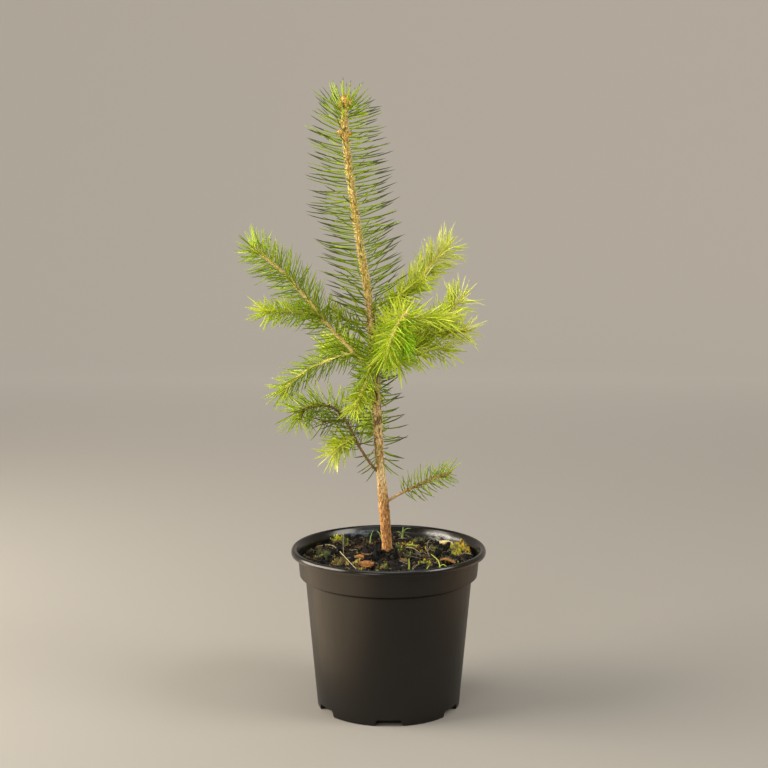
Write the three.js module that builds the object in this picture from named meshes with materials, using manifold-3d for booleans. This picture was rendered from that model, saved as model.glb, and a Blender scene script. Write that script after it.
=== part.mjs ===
// A young Norway spruce in a round nursery pot, in millimetres, with +Z up.
// The origin is the middle of the flat pad under the pot. The tree faces the viewer along +Y.
import * as THREE from 'three';
import { mergeVertices } from 'three/addons/utils/BufferGeometryUtils.js';
import Module from 'manifold-3d';

const wasm = await Module();
wasm.setup();

// The clear gap between two pieces that touch.
const seatGap = 0.3;

// The pot: a 12 cm nursery pot with a rolled lip, a stepped collar and six notches round the foot.
const pot = {
  height: 99.3,
  lipRadius: 60,
  lipDrop: 3.9,
  collarTopRadius: 55.9,
  collarFootRadius: 55,
  collarFoot: 83.2,
  bodyTopRadius: 51.3,
  bodyTop: 81.2,
  footRadius: 44.2,
  wall: 1.3,
  floorThick: 1.8,
  padRadius: 23,
  grooveOuterRadius: 35.2,
  grooveHeight: 2.2,
  grooveSlope: 0.8,
  footRound: [0.6, 0.8],
  collarFootRound: [0.4, 0.9],
  lipFootRound: [0.7, 1.2],
  lipTopRound: [0.4, 0.9],
  lipTopWidth: [1.6, 3.8],
  lipInnerDrop: 1.5,
  innerDrop: 0.8,
  facets: 32,
};
const notch = { count: 6, topWidth: 14.2, footWidth: 17, height: 4, from: 37.6, to: 47 };

// The compost: its level at the trunk and at the wall, and how lumpy its top is.
const compost = {
  trunkLevel: 94, wallLevel: 92.4, seatRadius: 6.5, fadeWidth: 6, lump: 0.66, smallLump: 0.4, rings: 4,
};

// What lies bedded in the compost: its place, half sizes, turn about the upright and tilt.
const barkChips = [
  { at: [-15, -8], size: [5.6, 3, 1.4], turn: 12, tilt: 9 },
  { at: [-13, -26.5], size: [4.6, 3.6, 1.7], turn: -24, tilt: -8 },
  { at: [34, -20], size: [7, 2.5, 1.2], turn: 8, tilt: 7 },
  { at: [37, 31.5], size: [4.4, 2.8, 1.4], turn: -25, tilt: -6 },
];
const mossClumps = [
  { at: [43.6, 12], size: [5.6, 10.4, 3.9], turn: 12 },
  { at: [-31, 32], size: [6, 4.5, 2.6], turn: -20 },
];

// How far chips and moss stand out of the compost, as a share of their half height.
const bedding = { chipLift: 0.7, chipTop: 0.8, chipSides: 7, mossLift: 0.25 };

// The trunk: heights with the sideways lean there, and heights with the radius there.
const trunk = {
  foot: compost.trunkLevel + seatGap,
  tip: 371,
  lean: [[94.3, -0.5], [122, -2.7], [158, -5.7], [205, -8.3], [247, -11.4], [296, -19], [334, -24.1],
    [358, -26.2], [371, -25.6]],
  girth: [[94.3, 3.9], [97, 3.45], [103, 3.3], [121, 3.2], [130, 2.95], [150, 2.7], [170, 2.55], [236, 2.3],
    [246, 1.8], [362, 1.5], [366, 1.9], [371, 0.4]],
  sides: 7,
  steps: 25,
  leanSamples: 400,
};

// The boughs and their side twigs. height is where the bough leaves the trunk, heading its compass turn
// from +X, rises the climb in degrees at even stations from foot to tip, bare the share with no needles.
// needles gives count, length and the angle from the stem at the foot and at the tip.
const shoots = [
  { name: 'upper_left', height: 210, heading: 186, rises: [37, 54, 35.5], length: 104, bare: 0.125,
    girth: [1.1, 0.8], needles: { count: 43, length: 16, spread: [60, 36] },
    twigs: [
      { name: 'front', at: 0.468, heading: 222, rises: [4, 4], length: 41,
        needles: { count: 22, length: 13, spread: [58, 38] } },
      { name: 'arch', at: 0.15, heading: 174, rises: [-11, -25, -54], length: 53,
        needles: { count: 24, length: 14, spread: [62, 34] } },
    ] },
  { name: 'upper_right', height: 221.4, heading: 8, rises: [71, 48, 48], length: 78, bare: 0.13,
    girth: [1.1, 0.8], needles: { count: 41, length: 12.5, spread: [58, 38] }, twigs: [] },
  { name: 'right', height: 211.3, heading: 347, rises: [39, 32, 52], length: 70.6, bare: 0.16,
    girth: [1.1, 0.8], needles: { count: 25, length: 13.5, spread: [60, 38] },
    twigs: [
      { name: 'outer', at: 0.49, heading: 338, rises: [5, 7], length: 30,
        needles: { count: 14, length: 12, spread: [58, 36] } },
      { name: 'inner', at: 0.3, heading: 328, rises: [5, -8], length: 32.6,
        needles: { count: 13, length: 13, spread: [60, 24] } },
    ] },
  { name: 'front_right', height: 210, heading: 296.5, rises: [28, 56, 20], length: 54.5, bare: 0.17,
    girth: [1.1, 0.8], needles: { count: 27, length: 17, spread: [62, 50] }, twigs: [] },
  { name: 'front_low', height: 206.2, heading: 290, rises: [20, 26], length: 48, bare: 0.2,
    girth: [1, 0.8], needles: { count: 22, length: 14.5, spread: [62, 46] }, twigs: [] },
  { name: 'front_hanging', height: 212.6, heading: 243, rises: [-50, -40, -45], length: 34, bare: 0.24,
    girth: [1, 0.8], needles: { count: 19, length: 12.5, spread: [58, 36] }, twigs: [] },
  { name: 'small_left', height: 236, heading: 165, rises: [-1, 41], length: 27.2, bare: 0.25,
    girth: [0.9, 0.7], needles: { count: 13, length: 9, spread: [56, 24] }, twigs: [] },
  { name: 'low_left', height: 143.7, heading: 188, rises: [46, 60, 66, 12, -76], length: 78, bare: 0.27,
    girth: [1.05, 0.7], needles: { count: 26, length: 16, spread: [62, 32] },
    twigs: [
      { name: 'side', at: 0.38, heading: 215, rises: [-17, -44], length: 18,
        needles: { count: 13, length: 12.5, spread: [58, 40] } },
    ] },
  { name: 'low_right', height: 126.5, heading: 350, rises: [33, 20], length: 45.5, bare: 0.3,
    girth: [1, 0.7], needles: { count: 22, length: 10.5, spread: [62, 34] }, twigs: [] },
  { name: 'back_left', height: 212, heading: 116, rises: [12, 0], length: 62, bare: 0.17,
    girth: [1.1, 0.8], needles: { count: 20, length: 14, spread: [60, 36] }, twigs: [] },
  { name: 'back_right', height: 214.5, heading: 58, rises: [18, 8], length: 58, bare: 0.17,
    girth: [1.1, 0.8], needles: { count: 20, length: 14, spread: [60, 36] }, twigs: [] },
  { name: 'back_hanging', height: 205, heading: 95, rises: [-20, -48], length: 32, bare: 0.24,
    girth: [1, 0.8], needles: { count: 12, length: 12, spread: [58, 34] }, twigs: [] },
  { name: 'low_back', height: 166, heading: 100, rises: [15, 2], length: 38, bare: 0.2,
    girth: [1, 0.8], needles: { count: 13, length: 12, spread: [60, 34] }, twigs: [] },
];

// Needles that stand on the trunk itself. Each sleeve is a cage of slim ridges tied by rings, clear of the
// trunk. spread lists the angle from the trunk at even stations, scale the share of the full length there.
const sleeves = [
  { name: 'leader', from: 243, to: 365.5, ridges: 2, twist: 300, ringStep: 40, count: 80, length: 24.5,
    spread: [66, 69, 74, 79, 80, 76, 60, 18], scale: [0.96, 1, 1, 1, 1, 0.95, 0.88, 0.9] },
  { name: 'trunk', from: 150, to: 200, ridges: 2, twist: 60, ringStep: 50, count: 28, length: 16,
    spread: [122, 84, 72, 66], scale: [0.8, 1, 1, 0.9] },
];
const cage = {
  ridgeRadius: 0.7, ridgeClear: 0.1, ridgeSides: 3, ridgeStep: 12, startTurn: 40,
  ringHeight: 1.2, ringFacets: 7, ringDepth: 1.12, ringClear: 0.05, ringInset: 2,
  needlesFrom: 0.012, needlesTo: 0.992, fanStep: 0.618, markers: 10,
};

// Boughs, and the green twigs that carry the needles.
const boughMesh = { sides: 5, steps: 2, markers: 4 };
const twigMesh = {
  sides: 3, stepLength: 7, leastSteps: 6, mainGirth: [1.15, 0.7], sideGirth: [1.05, 0.65], markers: 10,
};
const limbSteps = 24;

// A needle is three-sided: narrow at its sunk root, widest in the middle, and bent a little forward.
const needle = { rootRadius: 0.3, midRadius: 0.68, bend: 12, jitter: 7, lengthJitter: 0.12, lift: 0.1 };

// The spiral of needles along a twig: where it starts and ends, how it wavers and how it closes to a tuft.
const spiral = {
  mainFrom: 0.02, sideFrom: 0.1, to: 0.985, waver: 0.3, turnWaver: 4, tuftPower: 2.5,
  youngShare: 0.15, youngScale: 0.85,
};

// The room kept round a needle: to limbs, to other masses, in its own mass and past its sunk root.
const clearance = { limb: 0.35, foliage: 0.32, sameMass: 0.12, rootShare: 0.44, tries: 5 };
const goldenTurn = 137.508;
const seed = 41;

const rad = THREE.MathUtils.degToRad;
const lerp = THREE.MathUtils.lerp;
const up = new THREE.Vector3(0, 0, 1);

// A repeatable stream of numbers from 0 to 1.
function seeded(seed) {
  let state = seed >>> 0;
  return () => {
    state = (state + 0x6d2b79f5) >>> 0;
    let mixed = Math.imul(state ^ (state >>> 15), 1 | state);
    mixed = (mixed + Math.imul(mixed ^ (mixed >>> 7), 61 | mixed)) ^ mixed;
    return ((mixed ^ (mixed >>> 14)) >>> 0) / 4294967296;
  };
}

// The value at share t of a list spread evenly from 0 to 1.
function atShare(list, t) {
  const place = THREE.MathUtils.clamp(t, 0, 1) * (list.length - 1);
  const low = Math.min(Math.floor(place), list.length - 2);
  return lerp(list[low], list[low + 1], place - low);
}

// The value at x of a list of [x, value] pairs.
function atPlace(pairs, x) {
  let high = pairs.findIndex((pair) => pair[0] >= x);
  if (high < 0) high = pairs.length - 1;
  if (high === 0) return pairs[0][1];
  const [lowX, lowValue] = pairs[high - 1];
  const [highX, highValue] = pairs[high];
  return lerp(lowValue, highValue, THREE.MathUtils.clamp((x - lowX) / (highX - lowX), 0, 1));
}

// Solids from closed geometries, and back.
function solidOf(geometry) {
  const bare = geometry.clone();
  bare.deleteAttribute('normal');
  bare.deleteAttribute('uv');
  const merged = mergeVertices(bare, 1e-4);
  return new wasm.Manifold(new wasm.Mesh({
    numProp: 3,
    vertProperties: new Float32Array(merged.attributes.position.array),
    triVerts: new Uint32Array(merged.index.array),
  }));
}

function geometryOf(solid) {
  const mesh = solid.getMesh();
  const geometry = new THREE.BufferGeometry();
  geometry.setAttribute('position', new THREE.BufferAttribute(mesh.vertProperties, 3));
  geometry.setIndex(new THREE.BufferAttribute(mesh.triVerts, 1));
  geometry.computeVertexNormals();
  return geometry;
}

// Joins solids and keeps the largest body, so that no loose scrap is left.
function fuse(solids) {
  const bodies = wasm.Manifold.union(solids).decompose();
  return bodies.reduce((best, body) => (body.volume() > best.volume() ? body : best));
}

// The way a line points at share t.
function aheadOf(place, t, step) {
  return place(Math.min(1, t + step)).sub(place(Math.max(0, t - step))).normalize();
}

// Bends an upright unit cylinder along a line: place(t), side(t) and radius(t) for t from 0 to 1.
function bent(blank, place, side, radius) {
  const geometry = blank.clone();
  const position = geometry.attributes.position;
  for (let i = 0; i < position.count; i += 1) {
    const t = position.getY(i) + 0.5;
    const ahead = aheadOf(place, t, 1e-3);
    const across = side(t).addScaledVector(ahead, -side(t).dot(ahead)).normalize();
    const over = new THREE.Vector3().crossVectors(ahead, across);
    const point = place(t)
      .addScaledVector(over, position.getX(i) * radius(t))
      .addScaledVector(across, position.getZ(i) * radius(t));
    position.setXYZ(i, point.x, point.y, point.z);
  }
  return geometry;
}

// A limb: a line walked from its foot by heading and rise, with a girth that tapers along it.
function limbAlong(foot, heading, rises, length, girth) {
  const level = new THREE.Vector3(Math.cos(rad(heading)), Math.sin(rad(heading)), 0);
  const points = [foot.clone()];
  for (let i = 0; i < limbSteps; i += 1) {
    const climb = rad(atShare(rises, (i + 0.5) / limbSteps));
    const ahead = level.clone().multiplyScalar(Math.cos(climb)).addScaledVector(up, Math.sin(climb));
    points.push(points[i].clone().addScaledVector(ahead, length / limbSteps));
  }
  const curve = new THREE.CatmullRomCurve3(points);
  return {
    length,
    place: (t) => curve.getPoint(THREE.MathUtils.clamp(t, 0, 1)),
    side: () => new THREE.Vector3(-level.y, level.x, 0),
    radius: (t) => lerp(girth[0], girth[1], t),
  };
}

// The share of a limb from t0 to t1, as a limb of its own.
function stretch(limb, t0, t1) {
  return {
    length: limb.length * (t1 - t0),
    place: (t) => limb.place(lerp(t0, t1, t)),
    side: (t) => limb.side(lerp(t0, t1, t)),
    radius: (t) => limb.radius(lerp(t0, t1, t)),
  };
}

function trunkLimb() {
  const curve = new THREE.CatmullRomCurve3(trunk.lean.map(([z, x]) => new THREE.Vector3(x, 0, z)));
  const table = [];
  for (let i = 0; i <= trunk.leanSamples; i += 1) {
    const point = curve.getPoint(i / trunk.leanSamples);
    table.push([point.z, point.x]);
  }
  const heightAt = (t) => lerp(trunk.foot, trunk.tip, t);
  return {
    length: trunk.tip - trunk.foot,
    place: (t) => new THREE.Vector3(atPlace(table, heightAt(t)), 0, heightAt(t)),
    side: () => new THREE.Vector3(0, 1, 0),
    radius: (t) => atPlace(trunk.girth, heightAt(t)),
    shareAt: (height) => (height - trunk.foot) / (trunk.tip - trunk.foot),
  };
}

function tube(limb, sides, steps) {
  return bent(new THREE.CylinderGeometry(1, 1, 1, sides, steps), limb.place, limb.side, limb.radius);
}

// The shortest distance between the straight pieces a-b and c-d.
function gapBetween(a, b, c, d) {
  const ab = b.clone().sub(a);
  const cd = d.clone().sub(c);
  const ca = a.clone().sub(c);
  const abab = ab.dot(ab);
  const cdcd = cd.dot(cd);
  const abcd = ab.dot(cd);
  const abca = ab.dot(ca);
  const cdca = cd.dot(ca);
  const spread = abab * cdcd - abcd * abcd;
  let s = spread > 1e-9 ? THREE.MathUtils.clamp((abcd * cdca - abca * cdcd) / spread, 0, 1) : 0;
  let t = (abcd * s + cdca) / cdcd;
  if (t < 0 || t > 1) {
    t = THREE.MathUtils.clamp(t, 0, 1);
    s = THREE.MathUtils.clamp((abcd * t - abca) / abab, 0, 1);
  }
  return ca.addScaledVector(ab, s).addScaledVector(cd, -t).length();
}

// What is already there: straight pieces with a radius, the mass they belong to, and their twig.
const occupied = [];

function occupyLimb(limb, mass, twig, pieces) {
  for (let i = 0; i < pieces; i += 1) {
    const t0 = i / pieces;
    const t1 = (i + 1) / pieces;
    occupied.push({
      a: limb.place(t0), b: limb.place(t1), radius: Math.max(limb.radius(t0), limb.radius(t1)),
      mass, twig, limb: true,
    });
  }
}

// Whether a needle keeps clear of every limb and of every other needle, past its sunk root.
function keepsClear(pieces, mass, twig) {
  return pieces.every(([a, b, radius]) => occupied.every((other) => {
    if (other.limb && other.twig === twig) return true;
    const room = other.limb ? clearance.limb
      : other.mass === mass ? clearance.sameMass : clearance.foliage;
    return gapBetween(a, b, other.a, other.b) > radius + other.radius + room;
  }));
}

// Grows one needle from a root, or returns null where there is no room for it.
function growNeedle(root, ahead, outward, angle, length, mass, twig) {
  const aim = (degrees) => ahead.clone().multiplyScalar(Math.cos(rad(degrees)))
    .addScaledVector(outward, Math.sin(rad(degrees)));
  const mid = root.clone().addScaledVector(aim(angle), length / 2);
  const tip = mid.clone().addScaledVector(aim(angle - needle.bend), length / 2);
  const past = root.clone().lerp(mid, clearance.rootShare);
  const pieces = [[past, mid, needle.midRadius], [mid, tip, needle.midRadius / 2]];
  if (!keepsClear(pieces, mass, twig)) return null;
  for (const [a, b, radius] of pieces) occupied.push({ a, b, radius, mass, twig, limb: false });
  return needleSolid(root, mid, tip);
}

// The needle itself: a ring at its sunk root and a like one in its middle, drawn to a point at its tip.
function needleSolid(root, mid, tip) {
  const needleGeometry = new THREE.ConeGeometry(1, 1, 3, 2);
  const along = mid.clone().sub(root).normalize();
  const turn = new THREE.Quaternion().setFromUnitVectors(new THREE.Vector3(0, 1, 0), along);
  const position = needleGeometry.attributes.position;
  for (let i = 0; i < position.count; i += 1) {
    const [centre, width] = [[root, needle.rootRadius], [mid, needle.midRadius * 2], [tip, 0]][
      Math.round((position.getY(i) + 0.5) * 2)];
    const point = new THREE.Vector3(position.getX(i) * width, 0, position.getZ(i) * width)
      .applyQuaternion(turn).add(centre);
    position.setXYZ(i, point.x, point.y, point.z);
  }
  return solidOf(needleGeometry);
}

// Tries a needle a few times, turned a little more each time, and skips it if there is never room.
function placeNeedle(random, attempt) {
  for (let i = 0; i < clearance.tries; i += 1) {
    const jitter = (size) => (random() * 2 - 1) * size;
    const made = attempt(jitter);
    if (made) return [made];
  }
  return [];
}

// Needles in a spiral round a twig, from a share of its length on to a tuft at its tip.
function needlesOnTwig(limb, from, look, mass, twig, random) {
  const grown = [];
  for (let i = 0; i < look.count; i += 1) {
    grown.push(...placeNeedle(random, (jitter) => {
      const t = lerp(from, spiral.to, (i + 0.5 + jitter(spiral.waver)) / look.count);
      const ahead = aheadOf(limb.place, t, 0.01);
      const side = limb.side(t);
      const over = new THREE.Vector3().crossVectors(ahead, side);
      const roll = rad(i * goldenTurn + jitter(needle.jitter * spiral.turnWaver));
      const outward = side.multiplyScalar(Math.cos(roll)).addScaledVector(over, Math.sin(roll))
        .addScaledVector(up, needle.lift).normalize();
      const angle = lerp(look.spread[0], look.spread[1], t ** spiral.tuftPower) + jitter(needle.jitter);
      const young = t < spiral.youngShare ? spiral.youngScale : 1;
      const length = look.length * (1 + jitter(needle.lengthJitter)) * young;
      return growNeedle(limb.place(t), ahead, outward, angle, length, mass, twig);
    }));
  }
  return grown;
}

// A cage of ridges and rings round the trunk, with needles standing out of the ridges.
function sleeveSolid(sleeve, stem, random) {
  const mass = `needles_${sleeve.name}`;
  const heightAt = (t) => lerp(sleeve.from, sleeve.to, t);
  const share = (t) => stem.shareAt(heightAt(t));
  const aheadAt = (t) => aheadOf(stem.place, share(t), 0.004);
  const outAt = (t, turn) => {
    const ahead = aheadAt(t);
    const side = stem.side().addScaledVector(ahead, -stem.side().dot(ahead)).normalize();
    const over = new THREE.Vector3().crossVectors(ahead, side);
    return side.multiplyScalar(Math.cos(rad(turn))).addScaledVector(over, Math.sin(rad(turn)));
  };
  const stand = (t) => stem.radius(share(t)) + seatGap + cage.ridgeRadius + cage.ridgeClear;
  const ridgeTurn = (t, i) => sleeve.twist * t + (360 / sleeve.ridges) * i + cage.startTurn;
  const height = sleeve.to - sleeve.from;
  const ringSpan = height - cage.ringInset * 2;
  const parts = [];
  for (let i = 0; i < sleeve.ridges; i += 1) {
    const ridge = {
      place: (t) => stem.place(share(t)).addScaledVector(outAt(t, ridgeTurn(t, i)), stand(t)),
      side: (t) => outAt(t, ridgeTurn(t, i)),
      radius: () => cage.ridgeRadius,
    };
    parts.push(solidOf(tube(ridge, cage.ridgeSides, Math.round(height / cage.ridgeStep))));
    occupyLimb(ridge, mass, mass, cage.markers);
  }
  const rings = Math.round(ringSpan / sleeve.ringStep);
  for (let i = 0; i <= rings; i += 1) {
    const t = (cage.ringInset + (ringSpan * i) / rings) / height;
    parts.push(ringSolid(stem.place(share(t)), aheadAt(t), stem.radius(share(t)) + seatGap));
  }
  for (let i = 0; i < sleeve.count; i += 1) {
    parts.push(...placeNeedle(random, (jitter) => {
      const t = lerp(cage.needlesFrom, cage.needlesTo, (i + 0.5 + jitter(spiral.waver)) / sleeve.count);
      const fan = ((((i * cage.fanStep) % 1) - 0.5) * 360) / sleeve.ridges;
      const ridgeAngle = ridgeTurn(t, i % sleeve.ridges);
      const root = stem.place(share(t)).addScaledVector(outAt(t, ridgeAngle), stand(t));
      const outward = outAt(t, ridgeAngle + fan + jitter(needle.jitter));
      const angle = atShare(sleeve.spread, t) + jitter(needle.jitter / 2);
      const length = sleeve.length * atShare(sleeve.scale, t) * (1 + jitter(needle.lengthJitter));
      return growNeedle(root, aheadAt(t), outward, angle, length, mass, mass);
    }));
  }
  return fuse(parts);
}

// A flat three-sided ring round the trunk whose inside keeps the given radius clear.
function ringSolid(centre, ahead, clearRadius) {
  const inner = clearRadius / Math.cos(Math.PI / cage.ringFacets) + cage.ringClear;
  const profile = [
    new THREE.Vector2(inner, -cage.ringHeight / 2),
    new THREE.Vector2(inner + cage.ringDepth, 0),
    new THREE.Vector2(inner, cage.ringHeight / 2),
    new THREE.Vector2(inner, -cage.ringHeight / 2),
  ];
  const ring = new THREE.LatheGeometry(profile, cage.ringFacets);
  ring.applyQuaternion(new THREE.Quaternion().setFromUnitVectors(new THREE.Vector3(0, 1, 0), ahead));
  ring.translate(centre.x, centre.y, centre.z);
  return solidOf(ring);
}

// A round solid turned about the upright axis from [radius, height] pairs.
function turned(pairs, facets) {
  return new THREE.LatheGeometry(pairs.map(([r, z]) => new THREE.Vector2(r, z)), facets).rotateX(Math.PI / 2);
}

function potSolid() {
  const { height, lipRadius, wall, floorThick, footRadius, padRadius, grooveSlope } = pot;
  const lipFoot = height - pot.lipDrop;
  const step = floorThick + pot.grooveHeight;
  const shell = solidOf(turned([
    [0, 0],
    [padRadius, 0],
    [padRadius + grooveSlope, pot.grooveHeight],
    [pot.grooveOuterRadius, pot.grooveHeight],
    [pot.grooveOuterRadius + grooveSlope, 0],
    [footRadius - pot.footRound[0], 0],
    [footRadius, pot.footRound[1]],
    [pot.bodyTopRadius, pot.bodyTop],
    [pot.collarFootRadius - pot.collarFootRound[0], pot.collarFoot - pot.collarFootRound[1]],
    [pot.collarFootRadius, pot.collarFoot],
    [pot.collarTopRadius, lipFoot],
    [lipRadius - pot.lipFootRound[0], lipFoot],
    [lipRadius, lipFoot + pot.lipFootRound[1]],
    [lipRadius - pot.lipTopRound[0], height - pot.lipTopRound[1]],
    [lipRadius - pot.lipTopWidth[0], height],
    [lipRadius - pot.lipTopWidth[1], height - pot.lipInnerDrop],
    [pot.collarTopRadius - wall, lipFoot - pot.innerDrop],
    [pot.collarFootRadius - wall, pot.collarFoot],
    [pot.bodyTopRadius - wall, pot.bodyTop - pot.innerDrop],
    [footRadius - wall, floorThick],
    [pot.grooveOuterRadius + grooveSlope + 1, floorThick],
    [pot.grooveOuterRadius + grooveSlope, step],
    [padRadius, step],
    [padRadius - 1, floorThick],
    [0, floorThick],
  ], pot.facets));
  const cuts = [];
  for (let i = 0; i < notch.count; i += 1) cuts.push(solidOf(notchBlock(-90 + (360 / notch.count) * i)));
  return shell.subtract(wasm.Manifold.union(cuts));
}

// The wedge cut out of the foot for one drainage notch, wider at the ground than at its top.
function notchBlock(turn) {
  const below = 1;
  const block = new THREE.BoxGeometry(notch.to - notch.from, 1, notch.height + below);
  const position = block.attributes.position;
  for (let i = 0; i < position.count; i += 1) {
    const width = position.getZ(i) > 0 ? notch.topWidth : notch.footWidth;
    position.setY(i, position.getY(i) * width);
  }
  block.translate((notch.from + notch.to) / 2, 0, (notch.height - below) / 2);
  return block.rotateZ(rad(turn));
}

// How high the compost stands at a distance and a turn round the axis.
function compostLevel(radius, turn) {
  const edge = compostEdge();
  const fall = lerp(compost.trunkLevel, compost.wallLevel, (radius / edge) ** 2);
  const fade = THREE.MathUtils.smoothstep(radius, compost.seatRadius, compost.seatRadius + compost.fadeWidth);
  const lumps = Math.sin(turn * 3 + radius * 0.31) * compost.lump;
  const smallLumps = Math.sin(turn * 5 - radius * 0.23) * compost.smallLump;
  return fall + (lumps + smallLumps) * fade;
}

// The radius of the compost where its top meets the collar, which widens a little upward.
function compostEdge() {
  const share = (compost.wallLevel - pot.collarFoot) / (pot.height - pot.lipDrop - pot.collarFoot);
  return lerp(pot.collarFootRadius, pot.collarTopRadius, share) - pot.wall - seatGap;
}

function compostSolid() {
  const { wall } = pot;
  const floorLevel = pot.floorThick + pot.grooveHeight + seatGap;
  const edge = compostEdge();
  const top = [];
  for (let i = 0; i < compost.rings; i += 1) {
    top.push([lerp(edge, compost.seatRadius, i / (compost.rings - 1)), compost.trunkLevel]);
  }
  const blank = turned([
    [0, floorLevel],
    [pot.footRadius - wall - seatGap, floorLevel],
    [pot.bodyTopRadius - wall - seatGap, pot.bodyTop],
    [pot.collarFootRadius - wall - seatGap, pot.collarFoot + seatGap],
    ...top,
    [0, compost.trunkLevel],
  ], pot.facets);
  const position = blank.attributes.position;
  for (let i = 0; i < position.count; i += 1) {
    if (position.getZ(i) < compost.trunkLevel - 0.01) continue;
    const radius = Math.hypot(position.getX(i), position.getY(i));
    position.setZ(i, compostLevel(radius, Math.atan2(position.getY(i), position.getX(i))));
  }
  return solidOf(blank);
}

// A flat flake of bark with a blunt outline, bedded in the compost.
function chipGeometry(chip, grow) {
  const flake = new THREE.CylinderGeometry(bedding.chipTop, 1, 2, bedding.chipSides, 1).rotateX(Math.PI / 2);
  const [x, y] = chip.at;
  flake.scale(chip.size[0] + grow, chip.size[1] + grow, chip.size[2] + grow);
  flake.rotateX(rad(chip.tilt)).rotateY(rad(chip.tilt / 2)).rotateZ(rad(chip.turn));
  const level = compostLevel(Math.hypot(x, y), Math.atan2(y, x));
  return flake.translate(x, y, level + chip.size[2] * bedding.chipLift);
}

// A low cushion of moss, with its lower half in the compost.
function mossGeometry(clump, grow) {
  const cushion = new THREE.IcosahedronGeometry(1, 1);
  const [x, y] = clump.at;
  cushion.scale(clump.size[0] + grow, clump.size[1] + grow, clump.size[2] + grow).rotateZ(rad(clump.turn));
  const level = compostLevel(Math.hypot(x, y), Math.atan2(y, x));
  return cushion.translate(x, y, level + clump.size[2] * bedding.mossLift);
}

const finish = {
  pot: { color: 0x2d2824, roughness: 0.55 },
  compost: { color: 0x1f1813, roughness: 1 },
  bark: { color: 0xa97c45, roughness: 0.85 },
  chip: { color: 0x9a6f35, roughness: 0.9 },
  moss: { color: 0x8a8a1e, roughness: 1 },
  darkNeedle: { color: 0x4a6a22, roughness: 0.6 },
  freshNeedle: { color: 0x7fa61e, roughness: 0.6 },
  limeNeedle: { color: 0xa9c43a, roughness: 0.6 },
};
const needleFinish = {
  leader: 'darkNeedle', trunk: 'darkNeedle', upper_left: 'darkNeedle', low_left: 'darkNeedle',
  upper_right: 'limeNeedle', right: 'limeNeedle',
};

const spruce = new THREE.Group();

function addPiece(name, geometry, look) {
  const material = new THREE.MeshStandardMaterial({ ...finish[look], metalness: 0, flatShading: true });
  const mesh = new THREE.Mesh(geometry, material);
  mesh.name = name;
  spruce.add(mesh);
}

// The pot and what fills it.
const bedded = [];
barkChips.forEach((chip, i) => {
  bedded.push({ name: `bark_chip_${i + 1}`, look: 'chip', shape: (grow) => chipGeometry(chip, grow) });
});
mossClumps.forEach((clump, i) => {
  bedded.push({ name: `moss_clump_${i + 1}`, look: 'moss', shape: (grow) => mossGeometry(clump, grow) });
});
addPiece('pot', geometryOf(potSolid()), 'pot');
addPiece('compost', geometryOf(bedded.reduce(
  (solid, piece) => solid.subtract(solidOf(piece.shape(seatGap))), compostSolid())), 'compost');
for (const piece of bedded) addPiece(piece.name, geometryOf(solidOf(piece.shape(0))), piece.look);

// The trunk.
const stem = trunkLimb();
addPiece('trunk', tube(stem, trunk.sides, trunk.steps), 'bark');
occupyLimb(stem, 'trunk', 'trunk', 40);

// The boughs: each starts clear of the trunk and ends where its needles begin.
const seatedTrunk = { ...stem, radius: (t) => stem.radius(t) + seatGap };
const trunkSleeve = solidOf(tube(seatedTrunk, trunk.sides, trunk.steps));
const grownShoots = shoots.map((shoot) => {
  const foot = stem.place(stem.shareAt(shoot.height));
  const limb = limbAlong(foot, shoot.heading, shoot.rises, shoot.length, shoot.girth);
  const bough = stretch(limb, 0, shoot.bare);
  const name = `bough_${shoot.name}`;
  const solid = solidOf(tube(bough, boughMesh.sides, boughMesh.steps)).subtract(trunkSleeve);
  addPiece(name, geometryOf(fuse([solid])), 'bark');
  occupyLimb(bough, name, name, boughMesh.markers);
  const from = shoot.bare + seatGap / shoot.length;
  const needled = stretch({ ...limb, radius: (t) => lerp(...twigMesh.mainGirth, t) }, from, 1);
  const twigs = [{ limb: needled, twig: `${shoot.name}_stem`, look: shoot.needles }];
  for (const side of shoot.twigs) {
    const start = limb.place(side.at);
    twigs.push({
      limb: limbAlong(start, side.heading, side.rises, side.length, twigMesh.sideGirth),
      twig: `${shoot.name}_${side.name}`, look: side.needles,
    });
  }
  for (const part of twigs) occupyLimb(part.limb, `needles_${shoot.name}`, part.twig, twigMesh.markers);
  return { shoot, twigs };
});

// The foliage: the sleeves on the trunk first, then the mass at the end of each bough.
const random = seeded(seed);
for (const sleeve of sleeves) {
  const name = `needles_${sleeve.name}`;
  addPiece(name, geometryOf(sleeveSolid(sleeve, stem, random)), needleFinish[sleeve.name]);
}
for (const { shoot, twigs } of grownShoots) {
  const name = `needles_${shoot.name}`;
  const parts = twigs.flatMap(({ limb, twig, look }, i) => {
    const steps = Math.max(twigMesh.leastSteps, Math.round(limb.length / twigMesh.stepLength));
    const from = i === 0 ? spiral.mainFrom : spiral.sideFrom;
    const needles = needlesOnTwig(limb, from, look, name, twig, random);
    return [solidOf(tube(limb, twigMesh.sides, steps)), ...needles];
  });
  addPiece(name, geometryOf(fuse(parts)), needleFinish[shoot.name] || 'freshNeedle');
}

export default spruce;
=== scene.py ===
import math
import random
import bpy
import bmesh
from mathutils import Matrix, Vector, noise


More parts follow.
